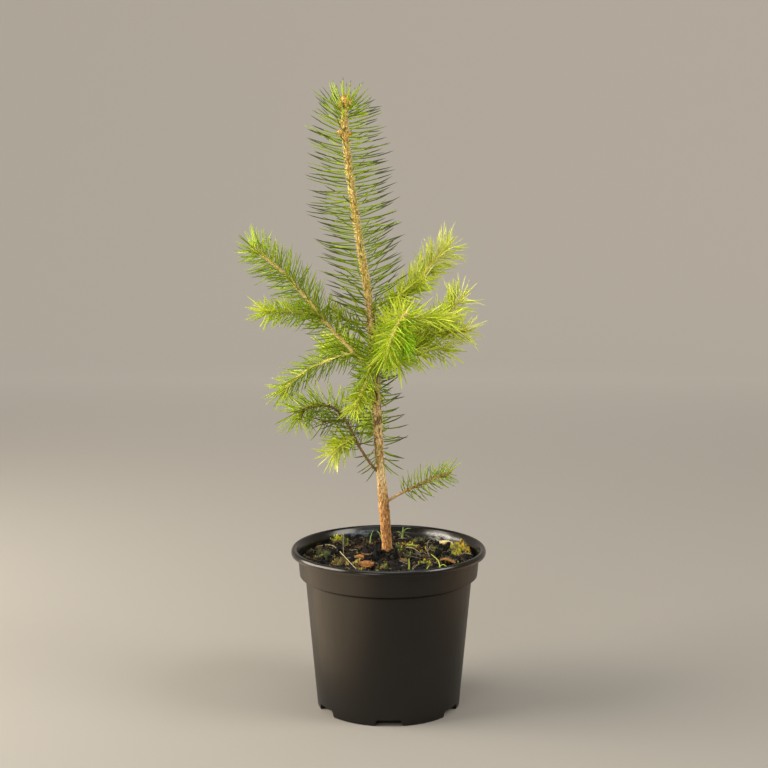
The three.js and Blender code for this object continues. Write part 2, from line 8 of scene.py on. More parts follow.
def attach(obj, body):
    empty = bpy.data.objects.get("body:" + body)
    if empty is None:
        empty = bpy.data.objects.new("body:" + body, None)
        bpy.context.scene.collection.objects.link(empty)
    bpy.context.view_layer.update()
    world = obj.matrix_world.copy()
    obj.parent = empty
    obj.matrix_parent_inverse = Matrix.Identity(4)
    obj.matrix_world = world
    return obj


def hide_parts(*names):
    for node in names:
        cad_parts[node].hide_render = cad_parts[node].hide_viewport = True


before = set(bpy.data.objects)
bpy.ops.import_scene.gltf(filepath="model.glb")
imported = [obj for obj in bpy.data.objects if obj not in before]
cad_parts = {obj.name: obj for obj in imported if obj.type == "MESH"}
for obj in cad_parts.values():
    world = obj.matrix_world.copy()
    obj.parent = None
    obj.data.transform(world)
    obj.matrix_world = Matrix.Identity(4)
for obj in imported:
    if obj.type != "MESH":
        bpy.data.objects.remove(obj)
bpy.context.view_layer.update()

mm = 0.001
golden = 137.508  # turn from one needle, leaf or bud scale to the next
upward = Vector((0, 0, 1))
scene = bpy.context.scene
print("frame loaded:", len(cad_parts), "nodes")


def lerp(a, b, t):
    return a + (b - a) * t


def smooth(low, high, x):
    t = min(max((x - low) / (high - low), 0.0), 1.0)
    return t * t * (3 - 2 * t)


# value at share t of a list spread evenly from 0 to 1
def atShare(values, t):
    spot = min(max(t, 0.0), 1.0) * (len(values) - 1)
    low = min(int(spot), len(values) - 2)
    return lerp(values[low], values[low + 1], spot - low)


# value at x of a list of (x, value) pairs
def atPlace(pairs, x):
    if x <= pairs[0][0]:
        return pairs[0][1]
    for (x0, v0), (x1, v1) in zip(pairs, pairs[1:]):
        if x <= x1:
            return lerp(v0, v1, (x - x0) / (x1 - x0))
    return pairs[-1][1]


# a level direction
def turnOf(degrees):
    a = math.radians(degrees)
    return Vector((math.cos(a), math.sin(a), 0))


# a soft curve through points, as place(t) for t from 0 to 1
def splineThrough(points):
    run = [points[0] * 2 - points[1]] + points + [points[-1] * 2 - points[-2]]

    def place(t):
        spot = min(max(t, 0.0), 1.0) * (len(points) - 1)
        i = min(int(spot), len(points) - 2)
        w = spot - i
        p0, p1, p2, p3 = run[i:i + 4]
        d0, d1, d2 = ((b - a).length ** 0.5 for a, b in ((p0, p1), (p1, p2), (p2, p3)))
        m1 = ((p1 - p0) / d0 - (p2 - p0) / (d0 + d1) + (p2 - p1) / d1) * d1
        m2 = ((p2 - p1) / d1 - (p3 - p1) / (d1 + d2) + (p3 - p2) / d2) * d1
        return (p1 + m1 * w + ((p2 - p1) * 3 - m1 * 2 - m2) * w ** 2
                + ((p1 - p2) * 2 + m1 + m2) * w ** 3)

    return place


# one direction turned toward another that is square to it
def swing(first, second, degrees):
    a = math.radians(degrees)
    return first * math.cos(a) + second * math.sin(a)


# ahead, across and over at share t of a line
def frameAt(place, side, t):
    step = 0.01
    ahead = (place(min(1, t + step)) - place(max(0, t - step))).normalized()
    across = (side - ahead * side.dot(ahead)).normalized()
    return ahead, across, ahead.cross(across)


# points and faces are gathered in a bag before they become a mesh
def newBag():
    return {"verts": [], "faces": []}


# rings of points joined into a closed skin; a ring of one point closes to it
def addRings(bag, rings):
    verts, faces = bag["verts"], bag["faces"]
    starts = []
    for ring in rings:
        starts.append(len(verts))
        verts.extend(ring)
    for i in range(len(rings) - 1):
        a, b = starts[i], starts[i + 1]
        na, nb = len(rings[i]), len(rings[i + 1])
        for k in range(max(na, nb)):
            n = (k + 1) % max(na, nb)
            if nb == 1:
                faces.append((a + k, a + n, b))
            elif na == 1:
                faces.append((a, b + n, b + k))
            else:
                faces.append((a + k, a + n, b + n, b + k))
    if len(rings[0]) > 2:
        faces.append(tuple(starts[0] + k for k in reversed(range(len(rings[0])))))
    if len(rings[-1]) > 2:
        faces.append(tuple(starts[-1] + k for k in range(len(rings[-1]))))


def ringAt(centre, across, over, width, height, sides):
    return [centre + across * (math.cos(a) * width) + over * (math.sin(a) * height)
            for a in (math.tau * k / sides for k in range(sides))]


# a rod along a line, from a share of it to its end
def addRod(bag, place, side, radiusAt, sides, steps, start=0.0, wobble=0.0, flat=1.0):
    rings = []
    for i in range(steps + 1):
        t = lerp(start, 1.0, i / steps)
        ahead, across, over = frameAt(place, side, t)
        centre = place(t)
        r = radiusAt(t)
        ring = ringAt(centre, across, over, r, r * flat, sides)
        if wobble:
            ring = [p + (p - centre) * (wobble * noise.noise(p * 0.9)) for p in ring]
        rings.append(ring)
    addRings(bag, rings)


def newObject(name, bag, scale=mm):
    mesh = bpy.data.meshes.new(name)
    mesh.from_pydata([tuple(c * scale for c in v) for v in bag["verts"]], [], bag["faces"])
    mesh.polygons.foreach_set("use_smooth", [True] * len(mesh.polygons))
    thing = bpy.data.objects.new(name, mesh)
    scene.collection.objects.link(thing)
    return thing


# the whole plant and its pot are one body, so every piece rides on root
def makePiece(name, bag, material, nodes=(), sharp=None):
    piece = newObject(name, bag)
    if sharp:
        piece.data.set_sharp_from_angle(angle=math.radians(sharp))
    piece.data.materials.append(material)
    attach(piece, "root")
    if nodes:
        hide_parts(*nodes)
    return piece


# a hex colour as the linear values that sockets take
def linear(hexColour):
    parts = [int(hexColour[i:i + 2], 16) / 255 for i in (0, 2, 4)]
    return tuple(c / 12.92 if c < 0.04045 else ((c + 0.055) / 1.055) ** 2.4 for c in parts) + (1.0,)


# sockets are named with an underscore for each space
def newMaterial(name, colour, roughness, **sockets):
    material = bpy.data.materials.new(name)
    material.use_nodes = True
    shader = material.node_tree.nodes["Principled BSDF"]
    shader.inputs["Base Color"].default_value = linear(colour)
    shader.inputs["Roughness"].default_value = roughness
    for socket, value in sockets.items():
        shader.inputs[socket.replace("_", " ")].default_value = value
    return material, material.node_tree, shader


# a node with values for its inputs, or for its own settings where it has no such input
def addNode(tree, kind, **values):
    node = tree.nodes.new(kind)
    for key, value in values.items():
        if key in node.inputs:
            node.inputs[key].default_value = value
        else:
            setattr(node, key, value)
    return node


# object coordinates stretched by a scale
def coordinates(tree, stretch=(1, 1, 1)):
    place = addNode(tree, "ShaderNodeTexCoord")
    mapping = addNode(tree, "ShaderNodeMapping")
    mapping.inputs["Scale"].default_value = stretch
    tree.links.new(place.outputs["Object"], mapping.inputs["Vector"])
    return mapping.outputs["Vector"]


def noiseOf(tree, vector, scale, detail=4.0, rough=0.6):
    node = addNode(tree, "ShaderNodeTexNoise", Scale=scale, Detail=detail, Roughness=rough)
    tree.links.new(vector, node.inputs["Vector"])
    return node.outputs["Fac"]


# colours along a value, as (place, hex) stops
def rampOf(tree, value, stops):
    node = addNode(tree, "ShaderNodeValToRGB")
    elements = node.color_ramp.elements
    while len(elements) < len(stops):
        elements.new(0.5)
    for element, (place, colour) in zip(elements, stops):
        element.position = place
        element.color = linear(colour)
    tree.links.new(value, node.inputs["Fac"])
    return node.outputs["Color"]


# low to high as a value goes from one place to another
def greyOf(tree, value, low, high, place0=0.3, place1=0.7):
    node = addNode(tree, "ShaderNodeMapRange")
    for key, number in (("From Min", place0), ("From Max", place1), ("To Min", low), ("To Max", high)):
        node.inputs[key].default_value = number
    tree.links.new(value, node.inputs["Value"])
    return node.outputs["Result"]


# a and b are a hex colour or the output of a node
def mixOf(tree, share, a, b):
    node = addNode(tree, "ShaderNodeMix", data_type="RGBA")
    tree.links.new(share, node.inputs["Factor"])
    for socket, value in ((node.inputs[6], a), (node.inputs[7], b)):  # the node's own colour sockets
        if isinstance(value, str):
            socket.default_value = linear(value)
        else:
            tree.links.new(value, socket)
    return node.outputs[2]


def bumpOf(tree, shader, height, distance, strength):
    node = addNode(tree, "ShaderNodeBump")
    node.inputs["Strength"].default_value = strength
    node.inputs["Distance"].default_value = distance
    tree.links.new(height, node.inputs["Height"])
    tree.links.new(node.outputs["Normal"], shader.inputs["Normal"])


def mathOf(tree, operation, *values):
    node = addNode(tree, "ShaderNodeMath", operation=operation)
    for socket, value in zip(node.inputs, values):
        if isinstance(value, (int, float)):
            socket.default_value = value
        else:
            tree.links.new(value, socket)
    return node.outputs["Value"]


def productOf(tree, first, *others):
    for other in others:
        first = mathOf(tree, "MULTIPLY", first, other)
    return first


# 1 past an edge and 0 before it, and the other way round; an edge is two places close together
def above(tree, value, edge):
    return greyOf(tree, value, 0, 1, *edge)


def below(tree, value, edge):
    return greyOf(tree, value, 1, 0, *edge)


# x, y and z in the object, in metres
def axesOf(tree):
    place = addNode(tree, "ShaderNodeTexCoord")
    apart = addNode(tree, "ShaderNodeSeparateXYZ")
    tree.links.new(place.outputs["Object"], apart.inputs["Vector"])
    return [apart.outputs[axis] for axis in "XYZ"]


# distance from the upright axis
def radiusOf(tree, x, y):
    squares = [mathOf(tree, "POWER", axis, 2.0) for axis in (x, y)]
    return mathOf(tree, "SQRT", mathOf(tree, "ADD", *squares))


# colours along a grain, which also roughens the surface where it has a depth
def grainedMaterial(name, stops, roughness, grain, stretch=(1, 1, 1), depth=0, strength=0):
    material, tree, shader = newMaterial(name, stops[1][1], roughness)
    value = noiseOf(tree, coordinates(tree, stretch), *grain)
    tree.links.new(rampOf(tree, value, stops), shader.inputs["Base Color"])
    if depth:
        bumpOf(tree, shader, value, depth, strength)
    return material


# 1 at a place and 0 beyond its reach, in metres
def nearSpot(tree, where, reach):
    place = addNode(tree, "ShaderNodeTexCoord")
    distance = addNode(tree, "ShaderNodeVectorMath", operation="DISTANCE")
    distance.inputs[1].default_value = where
    tree.links.new(place.outputs["Object"], distance.inputs[0])
    return below(tree, distance.outputs["Value"], reach)


pot = {
    "facets": 144, "bevel": 0.35, "sharp": 32,
    # radius, height, rounding of the corner there
    "profile": [
        (0, 0, 0), (23, 0, 0.3), (23.8, 2.2, 0.3), (35.2, 2.2, 0.3), (36, 0, 0.3), (44.1, 0, 0.7),
        (44.57, 5.3, 0), (51.3, 81.2, 0.5), (54.7, 82.2, 0.35), (55.9, 95.4, 0.2), (59.8, 95.6, 0.35),
        (60.05, 97.4, 1.2), (58.9, 99.3, 1.2), (56.9, 98.9, 1.2), (54.6, 95.2, 1.4), (53.7, 83.2, 0.8),
        (50, 80.4, 0.8), (43.22, 5.3, 0), (42.9, 1.8, 0.8), (37, 1.8, 0.3), (36, 4, 0.3), (23, 4, 0.3),
        (22, 1.8, 0.3), (0, 1.8, 0),
    ],
    "notches": 6, "notchTop": 14.2, "notchFoot": 17, "notchHeight": 4, "notchFrom": 37.6, "notchTo": 47,
    # the plastic's colours, then the painted shade inside the pot, in its notches and under the collar,
    # partly damp soil inside
    "plastic": [(0.3, "0b0805"), (0.5, "0e0a06"), (0.72, "130e09")], "shadeAndWet": "050403",
    # a warm tint on the shine: a painted warm reflection
    "shine": (1.0, 0.965, 0.92, 1),
    # where the painted shade and the finish change, as edges in metres
    "innerWall": (0.0465, 0.047), "innerFoot": (0.08, 0.083), "taper": 0.09,
    "notchWall": (0.0418, 0.0424), "notchRoof": (0.0038, 0.0046),
    "creaseFoot": (0.0797, 0.0806), "creaseTop": (0.0818, 0.0821), "creaseWall": (0.052, 0.0526),
    "lip": (0.094, 0.0956),
    # painted glints inside the lip, pale and bluish, standing in for reflections: place and reach in metres,
    # colour
    "paintedGlints": [((0.0345, 0.0425, 0.0965), (0.004, 0.015), "d6d4ca"),
               ((-0.0186, 0.0512, 0.0962), (0.004, 0.014), "8c96a0")],
}


# the profile with each corner rounded by a short arc
def roundedProfile(corners):
    steps = 4
    points = []
    for i, (r, z, rounding) in enumerate(corners):
        here = Vector((r, z))
        if not rounding:
            points.append(here)
            continue
        before, after = (Vector(corners[j][:2]) - here for j in (i - 1, i + 1))
        reach = min(rounding, before.length * 0.45, after.length * 0.45)
        a, b = here + before.normalized() * reach, here + after.normalized() * reach
        for k in range(steps + 1):
            w = k / steps
            points.append(a * (1 - w) ** 2 + here * (2 * w * (1 - w)) + b * w ** 2)
    return points


# a profile turned about the upright axis
def turnedBag(points, facets):
    bag = newBag()
    rings = []
    for p in points:
        if p.x < 1e-6:
            rings.append([Vector((0, 0, p.y))])
        else:
            rings.append([turnOf(360 * k / facets) * p.x + upward * p.y for k in range(facets)])
    addRings(bag, rings)
    return bag


# the blocks that the drain notches are cut with
def notchBag():
    bag = newBag()
    for i in range(pot["notches"]):
        out = turnOf(-90 + 360 / pot["notches"] * i)
        along = Vector((-out.y, out.x, 0))
        near, far = pot["notchFrom"], pot["notchTo"]
        rings = []
        # each cut starts 1 mm under the foot, where it is a little wider
        for z, width in ((-1, pot["notchFoot"] + 0.7), (pot["notchHeight"], pot["notchTop"])):
            rings.append([out * r + along * (w * width / 2) + upward * z
                          for r, w in ((near, -1), (far, -1), (far, 1), (near, 1))])
        addRings(bag, rings)
    return bag


def potPlastic():
    material, tree, shader = newMaterial("pot_plastic", pot["plastic"][1][1], 0.44)
    x, y, height = axesOf(tree)
    radius = radiusOf(tree, x, y)
    # painted shade: the inside is blackened, partly as damp soil and partly as the shade within the pot, and
    # painted shade darkens the drain notches and the narrow band under the collar
    upright = mathOf(tree, "SUBTRACT", radius, mathOf(tree, "MULTIPLY", height, pot["taper"]))
    inside = productOf(tree, below(tree, upright, pot["innerWall"]), above(tree, height, pot["innerFoot"]))
    notchShade = productOf(tree, below(tree, radius, pot["notchWall"]), below(tree, height, pot["notchRoof"]))
    creaseShadow = productOf(tree, above(tree, height, pot["creaseFoot"]), below(tree, height, pot["creaseTop"]),
                       below(tree, radius, pot["creaseWall"]))
    shadeAndWet = mathOf(tree, "MAXIMUM", mathOf(tree, "MAXIMUM", inside, notchShade), creaseShadow)
    body = rampOf(tree, noiseOf(tree, coordinates(tree), 18, 3), pot["plastic"])
    body = mixOf(tree, shadeAndWet, body, pot["shadeAndWet"])
    # painted glints: pale and bluish spots on the inner wall, standing in for its reflections
    glintNoise = noiseOf(tree, coordinates(tree, (0.7, 0.7, 1.4)), 260, 6, 0.75)
    glintNoise = productOf(tree, greyOf(tree, glintNoise, 0, 0.7, 0.44, 0.64), inside)
    for where, reach, colour in pot["paintedGlints"]:
        body = mixOf(tree, productOf(tree, glintNoise, nearSpot(tree, where, reach)), body, colour)
    tree.links.new(body, shader.inputs["Base Color"])
    # the wall just under the collar stays dull, which keeps its painted shadow dark, and the lip is handled
    # smooth
    tree.links.new(greyOf(tree, creaseShadow, 0.4, 0.14, 0, 1), shader.inputs["Specular IOR Level"])
    # the warm tint on the shine is a painted warm reflection
    shader.inputs["Specular Tint"].default_value = pot["shine"]
    streak = greyOf(tree, noiseOf(tree, coordinates(tree, (1, 1, 0.12)), 420, 3), 0.4, 0.48)
    tree.links.new(mathOf(tree, "SUBTRACT", streak, greyOf(tree, height, 0, 0.22, *pot["lip"])),
                   shader.inputs["Roughness"])
    bumpOf(tree, shader, noiseOf(tree, coordinates(tree), 900, 3), 0.00003, 0.35)
    return material


def makePot():
    shell = makePiece("pot_shell", turnedBag(roundedProfile(pot["profile"]), pot["facets"]),
                      potPlastic(), ["pot"])
    cutter = newObject("notch_cutter", notchBag())
    cut = shell.modifiers.new("notches", "BOOLEAN")
    cut.object, cut.operation, cut.solver = cutter, "DIFFERENCE", "EXACT"
    edge = shell.modifiers.new("edges", "BEVEL")
    edge.width, edge.segments, edge.limit_method = pot["bevel"] * mm, 2, "ANGLE"
    edge.angle_limit = math.radians(50)
    bpy.context.view_layer.update()
    finished = bpy.data.meshes.new_from_object(shell.evaluated_get(bpy.context.evaluated_depsgraph_get()))
    shell.modifiers.clear()
    shell.data = finished
    bpy.data.objects.remove(cutter)
    finished.polygons.foreach_set("use_smooth", [True] * len(finished.polygons))
    finished.set_sharp_from_angle(angle=math.radians(pot["sharp"]))


makePot()
print("pot made")

compost = {
    # the level falls from the trunk to the wall, flat around the seat of the trunk
    "trunkLevel": 94, "wallLevel": 92.4, "seatRadius": 6.5, "fadeWidth": 6, "lump": 0.66, "smallLump": 0.4,
    "edge": 54.05, "side": [(53.4, 83.5), (49.7, 81.2), (42.6, 4.3)], "facets": 160, "rings": 70,
    # heights of what makes it uneven, and the dip along the wall
    "mound": 3.0, "moundWidth": 11, "clod": 1.7, "grain": 0.5, "hollow": 2.6, "sink": 0.25,
    "dip": 0.8, "dipBand": (51, 53.8),
    "soil": [(0.3, "050403"), (0.5, "0d0a07"), (0.68, "1a130b"), (0.8, "2c2214")],
    "seed": 11, "wall": 52.5, "rim": 54,
    "crumbs": 1900, "crumbSize": (0.35, 1.15), "bigCrumbs": 240, "bigCrumbSize": (1.2, 3.0),
    "crumbReach": 52.6,
    "slivers": 2600, "sliverLength": (0.5, 1.7), "sliverWidth": (0.16, 0.42), "sliverReach": 52.4,
    "fibres": 460, "fibreLength": (4, 13), "fibreRadius": (0.1, 0.24), "fibreArch": (0, 0.12),
    "fibreReach": 51,
    # name, colour, share
    "crumbTints": [
        ("crumbs_black", "050402", 0.52), ("crumbs_dark", "0f0a06", 0.3), ("crumbs_brown", "281c0e", 0.11),
        ("crumbs_tan", "6a5432", 0.03), ("crumbs_mossy", "423e10", 0.04),
    ],
    "sliverTints": [
        ("slivers_dark", "140e07", 0.46), ("slivers_brown", "36260f", 0.26), ("slivers_tan", "77603c", 0.09),
        ("slivers_mossy", "56521a", 0.19),
    ],
    "fibreTints": [
        ("fibres_dark", "2a1e14", 0.5), ("fibres_brown", "5b4127", 0.3), ("fibres_grey", "8d8270", 0.2),
    ],
    # black clods heaped about the foot of the trunk: place, size
    "clods": [
        ((-6.5, -11), 4.4), ((-3.4, -6.4), 2.7), ((-10.5, -15), 3.4), ((1.6, -5.6), 1.9), ((-7.6, -3.4), 2.2),
        ((4.6, -9.5), 2.3), ((-1.5, -13), 2.6), ((5.6, 1.5), 1.8), ((-4.6, 5.2), 2.0), ((2.6, 5.6), 2.1),
    ],
}


# the broad level, which the frame's own compost has too
def compostLevel(radius, turn):
    fall = lerp(compost["trunkLevel"], compost["wallLevel"], (radius / compost["edge"]) ** 2)
    fade = smooth(compost["seatRadius"], compost["seatRadius"] + compost["fadeWidth"], radius)
    lumps = math.sin(turn * 3 + radius * 0.31) * compost["lump"]
    small = math.sin(turn * 5 - radius * 0.23) * compost["smallLump"]
    return fall + (lumps + small) * fade


# the level with its clods and pits
def groundAt(x, y):
    r = math.hypot(x, y)
    level = compostLevel(min(r, compost["edge"]), math.atan2(y, x))
    clods = noise.fractal(Vector((x * 0.16, y * 0.16, 3)), 0.9, 2.1, 4)
    grain = noise.fractal(Vector((x * 0.7, y * 0.7, 9)), 0.8, 2.2, 3)
    hollow = smooth(0.12, 0.5, noise.noise(Vector((x * 0.11, y * 0.11, 21)))) * compost["hollow"]
    mound = compost["mound"] * math.exp(-((r / compost["moundWidth"]) ** 2))
    dip = smooth(*compost["dipBand"], r) * compost["dip"]
    rough = clods * compost["clod"] + grain * compost["grain"] - hollow
    return level + mound + rough * smooth(4, 9, r) - dip - compost["sink"]


# a ring of the bed, at a height or on the ground
def bedRing(r, z=None):
    spots = [turnOf(360 * k / compost["facets"]) * r for k in range(compost["facets"])]
    return [p + upward * (groundAt(p.x, p.y) if z is None else z) for p in spots]


def makeGround():
    bag = newBag()
    rings = [[Vector((0, 0, groundAt(0, 0)))]]
    rings += [bedRing(compost["edge"] * i / compost["rings"]) for i in range(1, compost["rings"] + 1)]
    rings += [bedRing(r, z) for r, z in compost["side"]]
    rings.append([Vector((0, 0, compost["side"][-1][1]))])
    rings.reverse()
    addRings(bag, rings)
    material, tree, shader = newMaterial("compost_ground", "17110c", 0.95)
    fine = noiseOf(tree, coordinates(tree), 700, 6, 0.7)
    tree.links.new(rampOf(tree, fine, compost["soil"]), shader.inputs["Base Color"])
    bumpOf(tree, shader, fine, 0.0008, 0.9)
    makePiece("compost_bed", bag, material, ["compost"])


def ballBlank(subdivisions):
    ball = bmesh.new()
    bmesh.ops.create_icosphere(ball, subdivisions=subdivisions, radius=1)
    verts = [v.co.copy() for v in ball.verts]
    faces = [tuple(v.index for v in f.verts) for f in ball.faces]
    ball.free()
    return verts, faces


ballBlanks = {count: ballBlank(count) for count in (1, 2, 4)}


# a ball with each of its points moved by shape
def addBall(bag, subdivisions, shape):
    verts, faces = ballBlanks[subdivisions]
    start = len(bag["verts"])
    bag["verts"].extend(shape(v) for v in verts)
    bag["faces"].extend(tuple(start + k for k in face) for face in faces)


# an uneven crumb of peat or bark
def addCrumb(bag, centre, size, rng, subdivisions=1):
    angle = rng.uniform(0, 6.28)
    turn = Matrix.Rotation(angle, 3, Vector((rng.gauss(0, 1), rng.gauss(0, 1), 1)).normalized())
    stretch = Vector((rng.uniform(0.6, 1.5), rng.uniform(0.6, 1.1), rng.uniform(0.4, 0.9)))
    shift = Vector((rng.uniform(0, 90), rng.uniform(0, 90), 0))

    def shape(v):
        rough = 1 + 0.8 * noise.noise(v * 1.5 + shift) + 0.3 * noise.noise(v * 4 + shift)
        return centre + turn @ Vector((v.x * stretch.x, v.y * stretch.y, v.z * stretch.z)) * (size * rough)

    addBall(bag, subdivisions, shape)


# a torn splinter of peat, bark or moss stem
def addSliver(bag, centre, ahead, length, width, rng):
    across = ahead.orthogonal().normalized()
    over = ahead.cross(across)
    bend = over * rng.uniform(-0.3, 0.3) * length
    rings = [ringAt(centre + ahead * (length * place) + bend * (1 - place * place), across, over,
                    width * scale, width * scale * 0.5, 5)
             for place, scale in ((-1, 0.35), (-0.4, 1), (0.4, 0.8), (1, 0.2))]
    addRings(bag, rings)


# one colour with a dull, grainy surface
def plainRough(name, colour, roughness):
    material, tree, shader = newMaterial(name, colour, roughness, Specular_IOR_Level=0.25)
    bumpOf(tree, shader, noiseOf(tree, coordinates(tree), 900, 4), 0.0004, 0.7)
    return material


def makeTinted(tints, bags, roughness=0.9):
    for name, colour, _ in tints:
        makePiece(name, bags[name], plainRough(name, colour, roughness))


# the name of a row, picked by the shares that the rows end with
def pickByShare(rng, rows):
    pick = rng.random() * sum(row[2] for row in rows)
    for row in rows:
        pick -= row[2]
        if pick <= 0:
            return row[0]
    return rows[-1][0]


# a place within reach of the middle, all parts of the bed alike
def scatterSpot(rng, reach, low):
    return turnOf(rng.uniform(0, 360)) * (reach * math.sqrt(rng.uniform(low, 1)))


def makeCrumbs():
    rng = random.Random(compost["seed"])
    tints = compost["crumbTints"]
    bags = {row[0]: newBag() for row in tints}
    for i in range(compost["crumbs"] + compost["bigCrumbs"]):
        big = i >= compost["crumbs"]
        r = compost["crumbReach"] * math.sqrt(rng.uniform(0.006, 1))
        spot = turnOf(rng.uniform(0, 360)) * r
        size = min(rng.uniform(*compost["bigCrumbSize" if big else "crumbSize"]), compost["rim"] - r)
        spot.z = groundAt(spot.x, spot.y) + size * rng.uniform(-0.1, 0.35)
        addCrumb(bags[pickByShare(rng, tints)], spot, size, rng, 2 if big else 1)
    for (x, y), size in compost["clods"]:
        addCrumb(bags["crumbs_black"], Vector((x, y, groundAt(x, y) + size * 0.15)), size, rng, 4)
    makeTinted(tints, bags)
    tints = compost["sliverTints"]
    bags = {row[0]: newBag() for row in tints}
    for _ in range(compost["slivers"]):
        spot = scatterSpot(rng, compost["sliverReach"], 0.005)
        spot.z = groundAt(spot.x, spot.y) + rng.uniform(0.1, 1.0)
        ahead = (turnOf(rng.uniform(0, 360)) + upward * rng.uniform(-0.5, 0.7)).normalized()
        addSliver(bags[pickByShare(rng, tints)], spot, ahead, rng.uniform(*compost["sliverLength"]),
                  rng.uniform(*compost["sliverWidth"]), rng)
    makeTinted(tints, bags)


# a thread of root or peat fibre, lying over the crumbs
def addFibre(bag, start, heading, length, radius, rng, arch):
    steps = 6
    points = [start.copy()]
    veer = rng.uniform(-70, 70)
    for i in range(1, steps + 1):
        points.append(points[-1] + turnOf(heading + veer * (i / steps)) * (length / steps))
    for i, p in enumerate(points):
        r = math.hypot(p.x, p.y)
        if r > compost["wall"]:
            p.x, p.y = p.x * compost["wall"] / r, p.y * compost["wall"] / r
        p.z = groundAt(p.x, p.y) + radius + 0.5 + math.sin(math.pi * i / steps) * length * arch
    addRod(bag, splineThrough(points), turnOf(heading + 90), lambda t: radius * lerp(1, 0.45, t), 4, 8)


def makeFibres():
    rng = random.Random(compost["seed"] + 1)
    tints = compost["fibreTints"]
    bags = {row[0]: newBag() for row in tints}
    for _ in range(compost["fibres"]):
        spot = scatterSpot(rng, compost["fibreReach"], 0.02)
        addFibre(bags[pickByShare(rng, tints)], spot, rng.uniform(0, 360),
                 rng.uniform(*compost["fibreLength"]), rng.uniform(*compost["fibreRadius"]), rng,
                 rng.uniform(*compost["fibreArch"]))
    makeTinted(tints, bags, 0.85)


makeGround()
makeCrumbs()
makeFibres()
print("compost made")

chips = {
    # place, half sizes, turn, tilt, lift as a share of the height, tint
    "large": [
        ((-15, -8), (5.6, 3.0, 1.4), 12, 9, 0.5, "warm"),
        ((-13, -26.5), (4.6, 3.6, 1.9), -24, -8, 0.5, "warm"),
        ((37, 31.5), (4.6, 2.8, 1.5), -14, -6, 1.3, "pale"),
    ],
    "arch": {"from": (28.4, -18.6), "to": (40.6, -21.8), "level": 93.4, "rise": 3.1, "width": 2.3,
             "thick": 0.62},
    "small": 58, "smallSize": ((1.2, 3.2), (0.7, 1.5), (0.3, 0.6)), "smallReach": 50, "seed": 5, "sharp": 50,
    # tint: piece, material, colours along the grain, what it replaces
    "tints": {
        "warm": ("bark_chips", "bark_chip_warm",
                 [(0.3, "38220c"), (0.46, "80501c"), (0.6, "ae7634"), (0.78, "d8ae70")],
                 ["bark_chip_1", "bark_chip_2", "bark_chip_3"]),
        "pale": ("bark_chip_pale", "bark_chip_pale",
                 [(0.3, "a88448"), (0.45, "dcc084"), (0.6, "f2e0a8"), (0.8, "fcf2cc")], ["bark_chip_4"]),
        "brown": ("bark_flakes", "bark_flake_brown",
                  [(0.3, "1e140a"), (0.48, "3c2a14"), (0.62, "5c4222"), (0.8, "8a6a3e")], []),
    },
}


# a turn on the bed after a tilt along its own length
def spinOf(turn, tilt):
    return Matrix.Rotation(math.radians(turn), 3, "Z") @ Matrix.Rotation(math.radians(tilt), 3, "X")


# a thin flake, domed above and flat below
def addFlake(bag, centre, size, turn, tilt, rng):
    columns, rows = 16, 9
    spin = spinOf(turn, tilt)
    shift = Vector((rng.uniform(0, 60), rng.uniform(0, 60), 0))
    rings = []
    for i in range(columns + 1):
        u = lerp(-1, 1, i / columns)
        uneven = 1 + 0.16 * noise.noise(Vector((u * 2.5, 0, 0)) + shift)
        waist = math.sqrt(max(0.02, 1 - abs(u) ** 3.2)) * uneven
        ring = []
        for k in range(rows * 2):
            lower = k >= rows
            v = lerp(1, -1, k / (rows - 1)) if not lower else lerp(-1, 1, (k - rows) / (rows - 1))
            layer = (0.3 * noise.noise(Vector((u * 2, v * 5, 4)) + shift)
                     + 0.14 * noise.noise(Vector((u * 9, v * 14, 4)) + shift))
            z = (1 - 0.35 * v * v + layer) if not lower else -0.8
            ring.append(centre + spin @ Vector((u * size[0], v * waist * size[1], z * size[2])))
        rings.append(ring)
    addRings(bag, rings)


# a weathered lump of bark, layered along its length
def addLump(bag, centre, size, turn, tilt, rng):
    spin = spinOf(turn, tilt)
    shift = Vector((rng.uniform(0, 60), rng.uniform(0, 60), 0))

    def shape(v):
        broad = 0.32 * noise.noise(v * 1.1 + shift)
        layers = 0.16 * noise.noise(Vector((v.x * 1.2, v.y * 4, v.z * 6)) + shift)
        grain = 0.08 * noise.noise(Vector((v.x * 5, v.y * 9, v.z * 9)) + shift)
        boxy = Vector(tuple(math.copysign(abs(c) ** 0.75, c) for c in v))
        p = boxy * (1 + broad + layers + grain)
        return centre + spin @ Vector((p.x * size[0], p.y * size[1], p.z * size[2]))

    addBall(bag, 4, shape)


# a curled strip that arches over the bed
def addArch(bag):
    arch = chips["arch"]
    ends = [Vector((*arch[key], 0)) for key in ("from", "to")]
    points = []
    for i in range(9):
        p = ends[0].lerp(ends[1], i / 8)
        p.z = arch["level"] + math.sin(math.pi * (0.06 + 0.88 * i / 8)) * arch["rise"]
        points.append(p)
    addRod(bag, splineThrough(points), turnOf(75),
           lambda t: arch["width"] * (0.55 + 0.45 * math.sin(math.pi * t)), 12, 26, wobble=0.25,
           flat=arch["thick"] / arch["width"])


